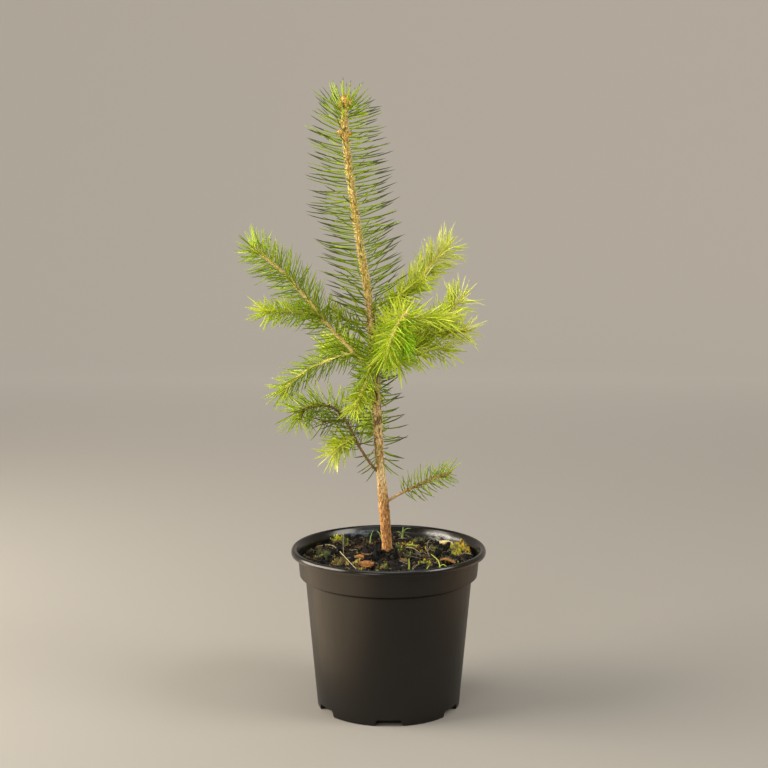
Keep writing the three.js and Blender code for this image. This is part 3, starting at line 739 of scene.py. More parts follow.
def makeChips():
    rng = random.Random(chips["seed"])
    bags = {tint: newBag() for tint in chips["tints"]}
    for (x, y), size, turn, tilt, lift, tint in chips["large"]:
        level = max(groundAt(x, y), compostLevel(math.hypot(x, y), math.atan2(y, x))) + size[2] * lift
        addLump(bags[tint], Vector((x, y, level)), size, turn, tilt, rng)
    addArch(bags["warm"])
    for _ in range(chips["small"]):
        spot = scatterSpot(rng, chips["smallReach"], 0.03)
        size = [rng.uniform(*limits) for limits in chips["smallSize"]]
        spot.z = groundAt(spot.x, spot.y) + 0.7
        addFlake(bags["brown"], spot, size, rng.uniform(0, 360), rng.uniform(-30, 30), rng)
    for tint, (name, finish, stops, nodes) in chips["tints"].items():
        material = grainedMaterial(finish, stops, 0.82, (420, 6, 0.65), (1, 2.6, 1.5), 0.0006, 0.8)
        makePiece(name, bags[tint], material, nodes, chips["sharp"])


makeChips()

moss = {
    # place, half sizes, turn, sprigs, leaf length, tall, tint
    "cushions": [
        ((44.8, 20), (5.2, 5.0, 4.5), 22, 300, 0.8, 1.7, "moss_gold"),
        ((47.8, 12), (3.4, 6.2, 4.4), 0, 260, 0.8, 1.6, "moss_gold"),
        ((42.4, 12.5), (4.0, 5.2, 2.8), 10, 180, 0.8, 1.6, "moss_lime"),
        ((43.6, 4.0), (4.4, 4.8, 2.6), -16, 170, 0.8, 1.6, "moss_lime"),
        ((47.8, 4.0), (2.6, 4.2, 2.2), 0, 80, 0.8, 1.5, "moss_gold"),
        ((37.6, 23), (4.0, 3.0, 1.2), 0, 70, 0.8, 1.2, "moss_cream"),
        ((-32, 34), (3.6, 2.6, 2.2), -20, 44, 1.3, 2.8, "moss_lime"),
        ((-27, 27), (2.6, 2.2, 1.2), -20, 22, 1.3, 2.6, "moss_green"),
        ((-42, 8), (3.4, 4.4, 1.0), 30, 24, 1.5, 2.2, "moss_green"),
        ((-38, -6), (3.0, 3.4, 1.0), 30, 16, 1.8, 2.8, "moss_green"),
        ((-29, -17), (5.2, 3.4, 1.5), 10, 110, 0.8, 1.3, "moss_shade"),
        ((-21, -21), (4.4, 2.8, 1.2), 10, 70, 0.8, 1.2, "moss_cream"),
        ((-4, -30), (3.4, 2.4, 1.2), 10, 22, 1.1, 1.5, "moss_green"),
        ((20, 36), (6.2, 2.2, 0.9), 0, 30, 1.3, 2.0, "moss_green"),
        ((6, 8), (4.6, 5.0, 0.8), 25, 60, 1.1, 1.6, "moss_green"),
        ((9, -3), (4.6, 5.0, 0.6), 25, 50, 1.0, 1.4, "moss_green"),
        ((22, -24), (5.0, 2.2, 0.8), -25, 26, 1.1, 1.4, "moss_lime"),
        ((13, 22), (7.0, 8.0, 0.8), 20, 100, 1.0, 1.3, "moss_shade"),
        ((27, 14), (7.0, 6.0, 0.7), 0, 80, 1.0, 1.3, "moss_green"),
        ((-18, -34), (6.0, 2.6, 0.8), -20, 60, 0.9, 1.2, "moss_shade"),
        ((36, -12), (4.6, 6.0, 0.8), 10, 60, 1.0, 1.3, "moss_green"),
    ],
    "gap": 0.12, "strays": 120, "strayReach": 51, "seed": 23, "rim": 51.6, "ownTint": 0.72,
    "leaves": 9, "leafWidth": 0.2, "stem": 0.16,
    "tints": {"moss_gold": "eac22c", "moss_lime": "b0b426", "moss_green": "4c5826", "moss_shade": "6e5e2a",
              "moss_cream": "c8b468"},
    "nodes": {"moss_gold": ["moss_clump_1"], "moss_green": ["moss_clump_2"]},
}


# a small pointed leaf, thick enough to be solid
def addLeaf(bag, root, ahead, length, width):
    side = ahead.cross(upward)
    side = side.normalized() if side.length > 0.1 else Vector((1, 0, 0))
    over = side.cross(ahead)
    middle = root + ahead * (length * 0.45)
    addRings(bag, [[root], [middle + side * width, middle + over * (width * 0.35),
                            middle - side * width, middle - over * (width * 0.35)], [root + ahead * length]])


# a leafy sprig of moss
def addSprig(bag, root, lean, tall, leaf, rng):
    tip = root + lean * tall
    sway = Vector((rng.gauss(0, 0.1), rng.gauss(0, 0.1), 0))
    place = splineThrough([root, root.lerp(tip, 0.5) + sway, tip])
    addRod(bag, place, Vector((1, 0, 0.01)), lambda t: moss["stem"], 4, 3)
    for i in range(moss["leaves"]):
        t = lerp(0.25, 1, i / (moss["leaves"] - 1))
        out = turnOf(i * golden + rng.uniform(-20, 20))
        ahead = (out * lerp(1.0, 0.35, t) + lean * lerp(0.5, 1.1, t)).normalized()
        addLeaf(bag, place(t), ahead, leaf * rng.uniform(0.8, 1.15), leaf * moss["leafWidth"])


def makeMoss():
    rng = random.Random(moss["seed"])
    bags = {name: newBag() for name in moss["tints"]}
    for (x, y), size, turn, count, leaf, tall, tint in moss["cushions"]:
        spin = Matrix.Rotation(math.radians(turn), 3, "Z")
        for _ in range(count):
            spread = turnOf(rng.uniform(0, 360)) * math.sqrt(rng.random())
            spot = spin @ Vector((spread.x * size[0], spread.y * size[1], 0)) + Vector((x, y, 0))
            clump = noise.noise(Vector((spot.x * 0.42, spot.y * 0.42, 5)))
            if math.hypot(spot.x, spot.y) > moss["rim"] or clump < -moss["gap"] - rng.random() * 0.3:
                continue
            spot.z = groundAt(spot.x, spot.y) + (1 - spread.length_squared) * size[2] * (0.75 + clump)
            addCrumb(bags["moss_shade"], spot - upward * 0.5, rng.uniform(0.9, 1.5), rng)
            sway = Vector((rng.gauss(0, 0.12), rng.gauss(0, 0.12), 0))
            lean = (spin @ Vector((spread.x * 0.5, spread.y * 0.5, 1)) + sway).normalized()
            name = tint if rng.random() < moss["ownTint"] else rng.choice(sorted(bags))
            addSprig(bags[name], spot, lean, tall * rng.uniform(0.45, 1.2), leaf * rng.uniform(0.8, 1.2), rng)
    for _ in range(moss["strays"]):
        spot = scatterSpot(rng, moss["strayReach"], 0.03)
        spot.z = groundAt(spot.x, spot.y) + 0.4
        lean = Vector((rng.gauss(0, 0.6), rng.gauss(0, 0.6), 1)).normalized()
        bag = bags[rng.choice(("moss_lime", "moss_green", "moss_shade"))]
        addSprig(bag, spot, lean, rng.uniform(0.8, 1.6), rng.uniform(0.7, 1.1), rng)
    for name, colour in moss["tints"].items():
        material, tree, shader = newMaterial(name, colour, 0.75)
        bumpOf(tree, shader, noiseOf(tree, coordinates(tree), 1500, 3), 0.0002, 0.4)
        makePiece(name, bags[name], material, moss["nodes"].get(name, ()))


makeMoss()

straws = {
    # points it runs through, radius, tint
    "rows": [
        ([(-29.7, -9, 98.2), (-24.5, -26, 97.4), (-19, -43.8, 96.4)], 0.26, "straw_pale"),
        ([(-28.9, 40.1, 99.6), (-28.6, 22, 96.8), (-27.8, -0.8, 94.6)], 0.24, "straw_grey"),
        ([(10, 16, 94.5), (15, 7, 96.4), (21, -1, 94.4)], 0.22, "straw_pale"),
        ([(4.5, -2.5, 97), (12, -8, 95.6), (20, -12, 94.6)], 0.16, "straw_grey"),
        ([(13, -38, 93.6), (17, -31, 95.6), (20, -24, 94.2)], 0.16, "straw_grey"),
        ([(-44, 24, 93.6), (-36, 17, 95.8), (-31, 10, 94.3)], 0.18, "straw_pale"),
        ([(24, 12, 94.2), (25, 13, 99.4), (31, 14, 101.8)], 0.2, "straw_grey"),
        ([(26, -9, 94), (24, -5, 97.2), (27, 0, 101)], 0.22, "straw_grey"),
        ([(-11.7, 29.7, 93.6), (-11.2, 30.4, 98), (-9.6, 31.4, 102.2)], 0.4, "shoot_green"),
        ([(8.8, 43, 93), (9.3, 43.2, 97.6), (9.6, 42.6, 101.2)], 0.62, "shoot_green"),
        ([(9.1, 43, 97), (11.4, 43.6, 99.8), (14.6, 43, 100.4)], 0.42, "shoot_green"),
        ([(8.8, 43, 96.4), (6.6, 42.6, 98.2), (5.6, 42, 98.6)], 0.4, "shoot_green"),
        ([(12, -36.3, 92.8), (12.2, -36.4, 97), (12, -36.6, 101)], 0.46, "shoot_lime"),
        ([(31, -28.6, 92.8), (29.6, -26, 97), (25.4, -22.6, 100.2)], 0.46, "shoot_lime"),
        ([(30.6, -28, 94), (32.6, -29, 95.4), (34.4, -30.4, 94.6)], 0.4, "shoot_lime"),
        ([(22.4, -37, 92.8), (22.8, -37, 95.2), (24, -37.4, 97)], 0.4, "shoot_lime"),
        ([(9.8, 19.3, 94), (14, 18.6, 95.6), (18, 18, 94.8)], 0.55, "shoot_lime"),
        ([(-5, 44, 93), (-5.4, 45, 96), (-7.4, 46, 98)], 0.4, "shoot_green"),
    ],
    "tints": {"straw_pale": "bdb48e", "straw_grey": "8f8b74",
              "shoot_green": "7f9a4c", "shoot_lime": "a6b843"},
}


def makeStraws():
    bags = {name: newBag() for name in straws["tints"]}
    for points, radius, tint in straws["rows"]:
        place = splineThrough([Vector(p) for p in points])
        ahead = place(1) - place(0)
        side = ahead.cross(upward)
        side = side.normalized() if side.length > 0.5 else Vector((1, 0, 0))
        addRod(bags[tint], place, side, lambda t: radius * lerp(1, 0.4, t * t), 6, 12)
    for name, colour in straws["tints"].items():
        makePiece(name, bags[name], plainRough(name, colour, 0.6))


makeStraws()
print("chips, moss and straws made")

trunk = {
    # height and x of the line it follows
    "lean": [(94.3, -0.5), (122, -2.7), (158, -5.7), (205, -8.3), (247, -11.4), (296, -19), (334, -24.1),
             (358, -26.2), (371, -25.6)],
    "foot": 94.3, "tip": 371, "meshFoot": 92.8, "meshTip": 369.2,
    # height and radius
    "girth": [(92.8, 4.0), (94.3, 3.8), (96.5, 3.3), (99, 3.05), (104, 3.0), (113, 3.15), (121, 3.2),
              (130, 3.05), (138, 2.8), (150, 2.55), (170, 2.5), (215, 2.42), (236, 2.3), (246, 1.95),
              (300, 1.8), (345, 1.65), (362, 1.5), (366, 1.6), (369.2, 1.0)],
    "sides": 64, "ringStep": 0.5, "leaderBand": (241, 246),
    # relief of the bark: plates and grain below, ridges under the needle pegs above
    "plate": 0.24, "grain": 0.22, "oldRidge": 0.3, "youngRidge": 0.5, "youngGrain": 0.1, "ridgeWidth": 0.42,
    "tan": [(0.32, "704c1a"), (0.42, "c89a50"), (0.52, "f4d292"), (0.64, "fcecc0")],
    "fleck": [(0.36, "6e4814"), (0.45, "cc9c50"), (0.56, "f2cc8c"), (0.7, "fceac0")],
    "rust": [(0.34, "4a240a"), (0.44, "94561e"), (0.54, "cc8a40"), (0.68, "ecbc78")],
    "young": [(0.34, "6e5214"), (0.44, "a88434"), (0.53, "ceb060"), (0.66, "ecd898")],
    "crack": "4e2e0e", "blotch": "4a3a10",
    # heights in metres where one bark goes over into the next
    "rustBand": (0.118, 0.146), "blotchBand": (0.15, 0.165), "youngBand": (0.24, 0.26),
}
trunkLine = splineThrough([Vector((x, 0, z)) for z, x in trunk["lean"]])
trunkTable = sorted((trunkLine(i / 400).z, trunkLine(i / 400).x) for i in range(401))


def trunkAt(z):
    return Vector((atPlace(trunkTable, z), 0, z))


# ahead, across and over at a height on the trunk
def trunkFrame(z):
    ahead = (trunkAt(min(z + 1, trunk["tip"])) - trunkAt(max(z - 1, trunk["foot"]))).normalized()
    across = Vector((0, 1, 0))
    across = (across - ahead * across.dot(ahead)).normalized()
    return ahead, across, ahead.cross(across)


# needles that stand on the trunk itself, from and to a height; spread and tilt are degrees along it
sleeves = [
    {"name": "leader", "from": 243.5, "to": 366, "count": 286, "length": 25.6, "wander": 4.5,
     "spread": [66, 67, 69, 71, 74, 77, 79, 80, 80, 79, 77, 75, 72, 66], "tilt": [2, 2, 3, 4, 5, 8, 11, 12],
     "scale": [0.95, 0.98, 1, 1.01, 1.02, 1.02, 1.0, 0.96, 0.9, 0.82],
     "tone": [1.7, 1.9, 2.1, 2.3], "aged": 0.58},
    {"name": "tuft", "from": 357, "to": 369.2, "count": 34, "length": 18.5, "wander": 9,
     "spread": [68, 54, 36, 22], "tilt": [8, 4], "scale": [1, 1, 0.92, 0.8],
     "tone": [2.0, 2.6], "aged": 0.62},
    {"name": "trunk", "from": 149, "to": 204, "count": 66, "length": 16, "wander": 11,
     "spread": [128, 98, 82, 76, 70], "tilt": [0, 0], "scale": [0.85, 1, 1, 1, 0.95],
     "tone": [1.4, 1.2, 1.0], "aged": 0.6},
    {"name": "crown", "from": 202, "to": 245, "count": 125, "length": 17, "wander": 13,
     "spread": [66, 58, 64], "tilt": [0, 0], "scale": [0.95, 1, 1], "tone": [2.0, 2.3, 2.6], "aged": 0.75},
]
sleeveSeed = 7


# where each of those needles stands, so that the trunk can carry a ridge under its peg
def sleeveRoots():
    rng = random.Random(sleeveSeed)
    rows = []
    for sleeve in sleeves:
        for i in range(sleeve["count"]):
            t = (i + 0.5 + rng.uniform(-0.35, 0.35)) / sleeve["count"]
            turn = math.radians(i * golden + rng.uniform(-14, 14))
            turn += 0.12 * math.sin(2 * turn)  # a little fuller to the sides, as shoots are
            rows.append({"sleeve": sleeve, "t": t, "z": lerp(sleeve["from"], sleeve["to"], t),
                         "turn": math.degrees(turn) % 360})
    return rows


roots = sleeveRoots()


# how far the bark stands out at a point; near lists the needle pegs just above it
def barkLift(p, z, turn, radius, near, leader):
    cells = noise.voronoi(Vector((p.x * 0.62, p.y * 0.62, p.z * 0.27)))[0]
    plate = smooth(0.02, 0.3, cells[1] - cells[0])
    grain = noise.fractal(Vector((p.x * 1.1, p.y * 1.1, p.z * 0.55)), 0.8, 2.1, 4)
    bark = plate * trunk["plate"] + grain * trunk["grain"] - 0.1
    flare = math.exp(-max(0, z - 94) / 3.2) * (0.25 + 0.35 * math.cos(math.radians(turn * 5 + 20)))
    ridge = 0.0
    for pegHeight, pegTurn in near:
        apart = abs((turn - pegTurn + 180) % 360 - 180) * math.pi / 180 * radius
        if apart < 0.9:
            run = pegHeight - z
            lift = smooth(-0.7, 0.1, run) * (1 - smooth(0.3, 6.2, run))
            ridge = max(ridge, lift * math.exp(-(apart / trunk["ridgeWidth"]) ** 2))
    old = bark + ridge * trunk["oldRidge"] + flare
    young = ridge * trunk["youngRidge"] + grain * trunk["youngGrain"] - 0.12
    return lerp(old, young, leader)


def trunkBark():
    material, tree, shader = newMaterial("trunk_bark", "b98a52", 0.8)
    height = axesOf(tree)[2]
    vector = coordinates(tree, (1, 1, 0.42))
    flake = addNode(tree, "ShaderNodeTexVoronoi", feature="DISTANCE_TO_EDGE", Scale=620.0)
    tree.links.new(vector, flake.inputs["Vector"])
    fine = noiseOf(tree, vector, 900, 6, 0.68)
    broad = noiseOf(tree, coordinates(tree, (1, 1, 0.5)), 210, 4)
    tan, rust, young = (rampOf(tree, fine, trunk[key]) for key in ("tan", "rust", "young"))
    old = mixOf(tree, greyOf(tree, fine, 0.25, 0.75), rampOf(tree, broad, trunk["fleck"]), tan)
    old = mixOf(tree, greyOf(tree, height, 0.85, 0, *trunk["rustBand"]), old, rust)  # redder toward the soil
    old = mixOf(tree, greyOf(tree, flake.outputs["Distance"], 0.75, 0, 0.0, 0.09), old, trunk["crack"])
    # blotches of old needle scars and green shade among the lower shoots
    blotch = productOf(tree, greyOf(tree, broad, 0.85, 0, 0.46, 0.55),
                       above(tree, height, trunk["blotchBand"]))
    old = mixOf(tree, blotch, old, trunk["blotch"])
    colour = mixOf(tree, above(tree, height, trunk["youngBand"]), old, young)
    tree.links.new(colour, shader.inputs["Base Color"])
    bumpOf(tree, shader, fine, 0.0004, 0.7)
    return material


def makeTrunk():
    pegs = sorted((row["z"], row["turn"]) for row in roots)
    rings = []
    z = trunk["meshFoot"]
    while z < trunk["meshTip"] + 1e-6:
        across, over = trunkFrame(z)[1:]
        centre = Vector((trunkAt(max(z, trunk["foot"])).x, 0, z))
        radius = atPlace(trunk["girth"], z)
        leader = smooth(*trunk["leaderBand"], z)
        near = [peg for peg in pegs if -0.8 < peg[0] - z < 6.5]
        ring = []
        for k in range(trunk["sides"]):
            turn = 360 * k / trunk["sides"]
            out = swing(across, over, turn)
            p = centre + out * radius
            ring.append(p + out * barkLift(p, z, turn, radius, near, leader))
        rings.append(ring)
        z += trunk["ringStep"]
    bag = newBag()
    addRings(bag, rings)
    makePiece("trunk_wood", bag, trunkBark(), ["trunk"])


makeTrunk()
print("trunk made, with needle pegs for:", ", ".join(sleeve["name"] for sleeve in sleeves))

# how wide the needles stand along a twig, in degrees
rosette = [62, 58, 56, 58, 60, 62, 56]
combed = [66, 62, 60, 58, 54, 44]

# Each shoot leaves the trunk at a height, and a side shoot leaves it at a share of its length. Rises are
# degrees of climb along it. Tones run along the needle tints below: 0 is the oldest green, 6 the palest
# growth and 7 a grass green. Twigs are green unless stem says otherwise.
shoots = [
    {"name": "upper_left", "height": 210, "heading": 186, "rises": [37, 54, 35.5], "length": 104,
     "bare": 0.125, "girth": [1.08, 0.58], "stem": "twigs_golden", "count": 384, "needle": 16,
     "spread": rosette, "part": 0.75, "tone": [2.0, 2.1, 2.2, 2.4, 2.8], "aged": 0.65, "tip": 0.9,
     "gather": 0.72,
     "sides": [
         {"at": 0.468, "heading": 222, "rises": [4, 4], "length": 41, "count": 165, "needle": 12.5,
          "spread": [60, 52, 48, 46, 46, 38], "tone": [2.2, 2.8, 3.4, 4.5], "part": 0.5},
         {"at": 0.15, "heading": 174, "rises": [-14, -27, -52], "length": 53, "stem": "twigs_pale",
          "count": 175, "needle": 13.5, "spread": [58, 50, 44, 42, 42, 38], "tone": [1.6, 2.2, 2.6, 3.4],
          "aged": 0.7, "part": 0.7},
         {"at": 0.36, "heading": 150, "rises": [34, 20], "length": 17, "count": 60, "needle": 12,
          "spread": combed, "tone": [2.6, 3.2]},
     ]},
    {"name": "upper_right", "height": 221.4, "heading": 8, "rises": [71, 48, 48], "length": 78,
     "bare": 0.13, "girth": [1.2, 0.75], "stem": "twigs_pale", "count": 368, "gather": 0.83,
     "needle": 14.5, "spread": [56, 48, 42, 42, 46, 52, 50], "part": 0.92, "tone": [3.6, 4.6, 5.1, 5.5],
     "sides": [
         {"at": 0.5, "heading": 330, "rises": [40, 30], "length": 17, "count": 56, "needle": 11,
          "spread": rosette, "tone": [3.4, 4.6]},
         {"at": 0.64, "heading": 60, "rises": [40, 34], "length": 15, "count": 44, "needle": 11,
          "spread": rosette, "tone": [3.0, 4.4]},
         {"at": 0.36, "heading": 290, "rises": [50, 30], "length": 15, "count": 56, "needle": 12,
          "spread": rosette, "tone": [3.4, 4.6]},
     ]},
    {"name": "right", "height": 211.3, "heading": 347, "rises": [39, 32, 52], "length": 70.6,
     "bare": 0.16, "girth": [1.1, 0.6], "stem": "twigs_pale", "count": 205, "needle": 14.5,
     "spread": [56, 46, 42, 44, 50, 56, 54], "gather": 1.12, "tone": [2.8, 3.6, 4.4, 5.8],
     "sides": [
         {"at": 0.49, "heading": 338, "rises": [5, 7], "length": 30, "stem": "twigs_tan", "count": 98,
          "needle": 13.5, "spread": [54, 46, 42, 40, 42, 40], "tone": [3.6, 4.6, 5.2]},
         {"at": 0.3, "heading": 328, "rises": [5, -8], "length": 32.6, "count": 84, "needle": 14,
          "spread": [60, 52, 46, 42, 38], "tone": [3.4, 4.0, 4.4]},
         {"at": 0.6, "heading": 20, "rises": [20, 10], "length": 15, "count": 50, "needle": 12,
          "spread": rosette, "tone": [2.8, 4.4]},
         {"at": 0.62, "heading": 310, "rises": [30, 20], "length": 14, "count": 50, "needle": 12,
          "spread": rosette, "tone": [3.2, 4.6]},
         {"at": 0.84, "heading": 350, "rises": [80, 88], "length": 7, "count": 26, "needle": 12.5,
          "spread": [20, 12, 8], "tone": [4.0, 4.6], "girth": [0.5, 0.4]},
     ]},
    {"name": "front_right", "height": 210, "heading": 296.5, "rises": [28, 57, 24], "length": 55,
     "bare": 0.2, "girth": [1.0, 0.6], "stem": "twigs_golden", "count": 205, "needle": 15.5,
     "spread": [66, 72, 74, 72, 68, 60], "gather": 0.95, "tone": [2.6, 3.0, 3.8, 4.4], "bud": 1.5,
     "part": 0.6, "tip": 0.82,
     "sides": [
         {"at": 0.97, "heading": 230, "rises": [-30, -60, -66], "length": 29, "stem": "twigs_pale",
          "count": 92, "needle": 13.5, "spread": [66, 60, 54, 50, 44, 38], "tone": [4.0, 3.6, 3.2, 3.6],
          "part": 0.6, "girth": [0.5, 0.34]},
         {"at": 0.8, "heading": 285, "rises": [0, -52, -76], "length": 21, "count": 100, "needle": 11.5,
          "spread": [50, 42, 36, 30], "tone": [7, 7], "girth": [0.5, 0.34]},
         {"at": 0.88, "heading": 347, "rises": [6, -4], "length": 28, "count": 78, "needle": 15.5,
          "spread": [46, 38, 34, 32], "tone": [3.8, 4.2, 4.6], "girth": [0.5, 0.34]},
         {"at": 0.4, "heading": 330, "rises": [0, -15], "length": 24, "count": 66, "needle": 14.5,
          "spread": [60, 52, 46, 40], "tone": [3.4, 4.0]},
         {"at": 0.36, "heading": 222, "rises": [-30, -50], "length": 20, "count": 60, "needle": 13,
          "spread": [60, 54, 48, 40], "tone": [1.6, 2.6]},
     ]},
    {"name": "front_low", "height": 206.2, "heading": 291, "rises": [26, 36, 26, 0, -30], "length": 46,
     "bare": 0.2, "girth": [1, 0.55], "count": 128, "needle": 14, "spread": [62, 60, 58, 52, 42],
     "tone": [2.4, 7, 3.0, 3.4]},
    {"name": "front_hanging", "height": 212.6, "heading": 243, "rises": [-50, -40, -45], "length": 34,
     "bare": 0.24, "girth": [1, 0.55], "stem": "twigs_pale", "count": 150, "needle": 12.5,
     "spread": [62, 56, 50, 48, 44, 36], "tone": [2.8, 3.8, 4.2], "part": 0.7},
    {"name": "small_left", "height": 236, "heading": 165, "rises": [-1, 41], "length": 27.2,
     "bare": 0.25, "girth": [0.9, 0.5], "count": 70, "needle": 9.5, "spread": rosette,
     "tone": [2.4, 3.2, 4.4]},
    {"name": "low_left", "height": 143.7, "heading": 188, "rises": [46, 60, 66, 12, -76], "length": 78,
     "bare": 0.27, "girth": [1.0, 0.55], "stem": "twigs_brown", "count": 150, "needle": 16.5,
     "spread": [60, 56, 52, 60, 60, 50], "tone": [1.6, 2.0, 2.3, 2.8, 3.6], "aged": 0.78, "gather": 0.8,
     "sides": [
         {"at": 0.38, "heading": 215, "rises": [-17, -44], "length": 18, "stem": "twigs_pale",
          "count": 96, "needle": 13, "spread": [62, 56, 52, 50, 46], "tone": [3.0, 4.4, 5.2]},
         {"at": 0.34, "heading": 170, "rises": [10, -20], "length": 13, "count": 50, "needle": 12,
          "spread": combed, "tone": [2.4, 3.6]},
         {"at": 0.74, "heading": 196, "rises": [-6, -20], "length": 20, "stem": "twigs_brown",
          "count": 56, "needle": 15, "spread": combed, "tone": [2.0, 3.0]},
         {"at": 0.52, "heading": 160, "rises": [0, -10], "length": 16, "stem": "twigs_brown",
          "count": 34, "needle": 13, "spread": combed, "tone": [1.6, 2.2], "aged": 0.6},
     ]},
    {"name": "low_right", "height": 126.5, "heading": 350, "rises": [33, 20], "length": 45.5,
     "bare": 0.3, "girth": [0.95, 0.5], "stem": "twigs_tan", "count": 104, "needle": 11,
     "spread": [74, 70, 66, 62, 58, 50], "tone": [2.0, 2.4, 2.4], "aged": 0.7},
    {"name": "back_left", "height": 212, "heading": 116, "rises": [12, 0], "length": 62, "bare": 0.17,
     "girth": [1.1, 0.6], "count": 200, "needle": 14, "spread": rosette, "tone": [1.6, 2.6, 3.6, 4.2],
     "sides": [
         {"at": 0.5, "heading": 150, "rises": [8, 0], "length": 22, "count": 76, "needle": 12,
          "spread": rosette, "tone": [2.4, 3.8]},
     ]},
    {"name": "back_right", "height": 214.5, "heading": 58, "rises": [18, 8], "length": 58, "bare": 0.17,
     "girth": [1.1, 0.6], "count": 200, "needle": 14, "spread": rosette, "tone": [1.6, 2.8, 4.0, 4.6],
     "sides": [
         {"at": 0.5, "heading": 20, "rises": [12, 4], "length": 22, "count": 76, "needle": 12,
          "spread": rosette, "tone": [2.6, 4.0]},
     ]},
    {"name": "back_hanging", "height": 205, "heading": 95, "rises": [-20, -48], "length": 32,
     "bare": 0.24, "girth": [1, 0.55], "count": 104, "needle": 12, "spread": combed,
     "tone": [1.8, 2.8, 3.6]},
    {"name": "low_back", "height": 166, "heading": 100, "rises": [15, 2], "length": 38, "bare": 0.2,
     "girth": [1, 0.55], "stem": "twigs_brown", "count": 116, "needle": 12, "spread": rosette,
     "tone": [1.8, 2.6, 3.2]},
]

needles = {
    "tints": [
        ("needles_deep", "50620e"), ("needles_dark", "6c8210"), ("needles_mid", "849a16"),
        ("needles_fresh", "a2b81c"), ("needles_lime", "bccc2c"), ("needles_yellow", "d2da4c"),
        ("needles_pale", "e6e88c"), ("needles_vivid", "94c814"),
    ],
    "palest": 6, "vivid": 7, "vividShare": 0.62, "vividMix": (2, 3, 3, 4), "toneJitter": 0.6,
    "aged": "needles_aged", "agedColour": "545c2c", "agedBelow": 1.9, "seed": 41,
    # share of the length and the width there
    "rings": [(0.0, 0.55), (0.07, 0.8), (0.28, 1.0), (0.6, 0.96), (0.86, 0.66)],
    "halfWidth": 0.335, "halfThick": 0.29, "bend": 14, "lift": 0.12, "gather": 0.88,
    "lengthJitter": 0.18, "turnJitter": 13, "jitter": [10, 10, 10, 11, 17], "limits": (12, 105),
    "footShare": 0.12, "footLength": 0.85, "tipShare": 0.75,
    "thickness": (0.86, 1.12), "sleeveThickness": (1.18, 1.42), "sleeveAged": 0.8,
    # needles turned to the front are thinned by a shoot's own share, part, so that its twig shows
    "frontFrom": -0.55, "frontUntil": 0.9,
}
stemTints = {
    "twigs_golden": [(0.3, "d8a850"), (0.5, "f4d488"), (0.7, "fcecb8")],
    "twigs_green": [(0.3, "9ca030"), (0.5, "c4c044"), (0.7, "dcd870")],
    "twigs_tan": [(0.3, "94703a"), (0.5, "c49c5c"), (0.7, "e0c088")],
    "twigs_pale": [(0.3, "ccc04a"), (0.5, "e8dc70"), (0.7, "f6f0a4")],
    "twigs_brown": [(0.3, "54381e"), (0.5, "84623a"), (0.7, "b29462")],
}
buds = {
    # height on the trunk, turn, lean out, length, half width
    "leader": [(368.4, 0, 2, 5.2, 2.9), (366.2, 120, 42, 4.4, 2.1), (366.8, 215, 40, 4.8, 2.5),
               (366, 330, 42, 4.2, 2.0), (355.6, 75, 58, 3.0, 1.15), (350.4, 100, 66, 4.2, 1.8),
               (348.6, 70, 70, 3.0, 1.2), (348.8, 262, 60, 3.6, 1.6), (346.8, 180, 60, 2.6, 1.1),
               (300, 110, 60, 1.8, 0.8)],
    "twigLength": 1.9, "twigWidth": 0.66, "sideSize": 0.7,
    "steps": 6, "facets": 10, "scales": 22, "body": 0.92,
    "tints": {
        "buds": [(0.3, "8a5a18"), (0.45, "cc983c"), (0.62, "ecca7c")],
        "twig_buds": [(0.36, "a06a18"), (0.5, "d8a038"), (0.68, "f0ca70")],
    },
}
needleBags = {name: newBag() for name, _ in needles["tints"]}
needleBags[needles["aged"]] = newBag()
stemBags = {name: newBag() for name in stemTints}
budBags = {name: newBag() for name in buds["tints"]}


# a four-sided needle that bends a little toward the tip of its twig; its end is brown-green from the
# share aged on
def addNeedle(tone, root, ahead, outward, angle, length, bend, aged, thickness):
    hinge = ahead.cross(outward).normalized()
    a, b = math.radians(angle + bend / 2), math.radians(bend)
    rings = []
    for u, scale in needles["rings"]:
        along = (math.sin(a) - math.sin(a - b * u)) / b
        away = (math.cos(a - b * u) - math.cos(a)) / b
        centre = root + (ahead * along + outward * away) * length
        heading = ahead * math.cos(a - b * u) + outward * math.sin(a - b * u)
        over = heading.cross(hinge)
        w, h = (needles[key] * scale * thickness for key in ("halfWidth", "halfThick"))
        rings.append([centre + hinge * w, centre + over * h, centre - hinge * w, centre - over * h])
    along, away = (math.sin(a) - math.sin(a - b)) / b, (math.cos(a - b) - math.cos(a)) / b
    rings.append([root + (ahead * along + outward * away) * length])
    bag = needleBags[needles["tints"][max(round(tone), 0)][0]]
    if aged is None:
        addRings(bag, rings)
    else:
        cut = next(i for i, (u, _) in enumerate(needles["rings"]) if u >= aged)
        addRings(bag, rings[:cut + 1])
        addRings(needleBags[needles["aged"]], rings[cut:])


# whether a needle runs into the trunk
def meetsTrunk(root, ahead, outward, angle, length):
    aim = swing(ahead, outward, angle)
    for share in (0.35, 0.6, 0.8, 1.0):
        p = root + aim * (length * share)
        if 93 < p.z < 370:
            centre = trunkAt(p.z)
            if math.hypot(p.x - centre.x, p.y) < atPlace(trunk["girth"], p.z) + 0.5:
                return True
    return False


# the little peg that carries a needle
def addPeg(bag, root, aim, across, size):
    over = aim.cross(across)
    rings = [ringAt(root + aim * (reach * size), across, over, r * size, r * size, 5)
             for reach, r in ((-0.5, 0.5), (0.25, 0.44), (0.75, 0.38))]
    addRings(bag, rings)


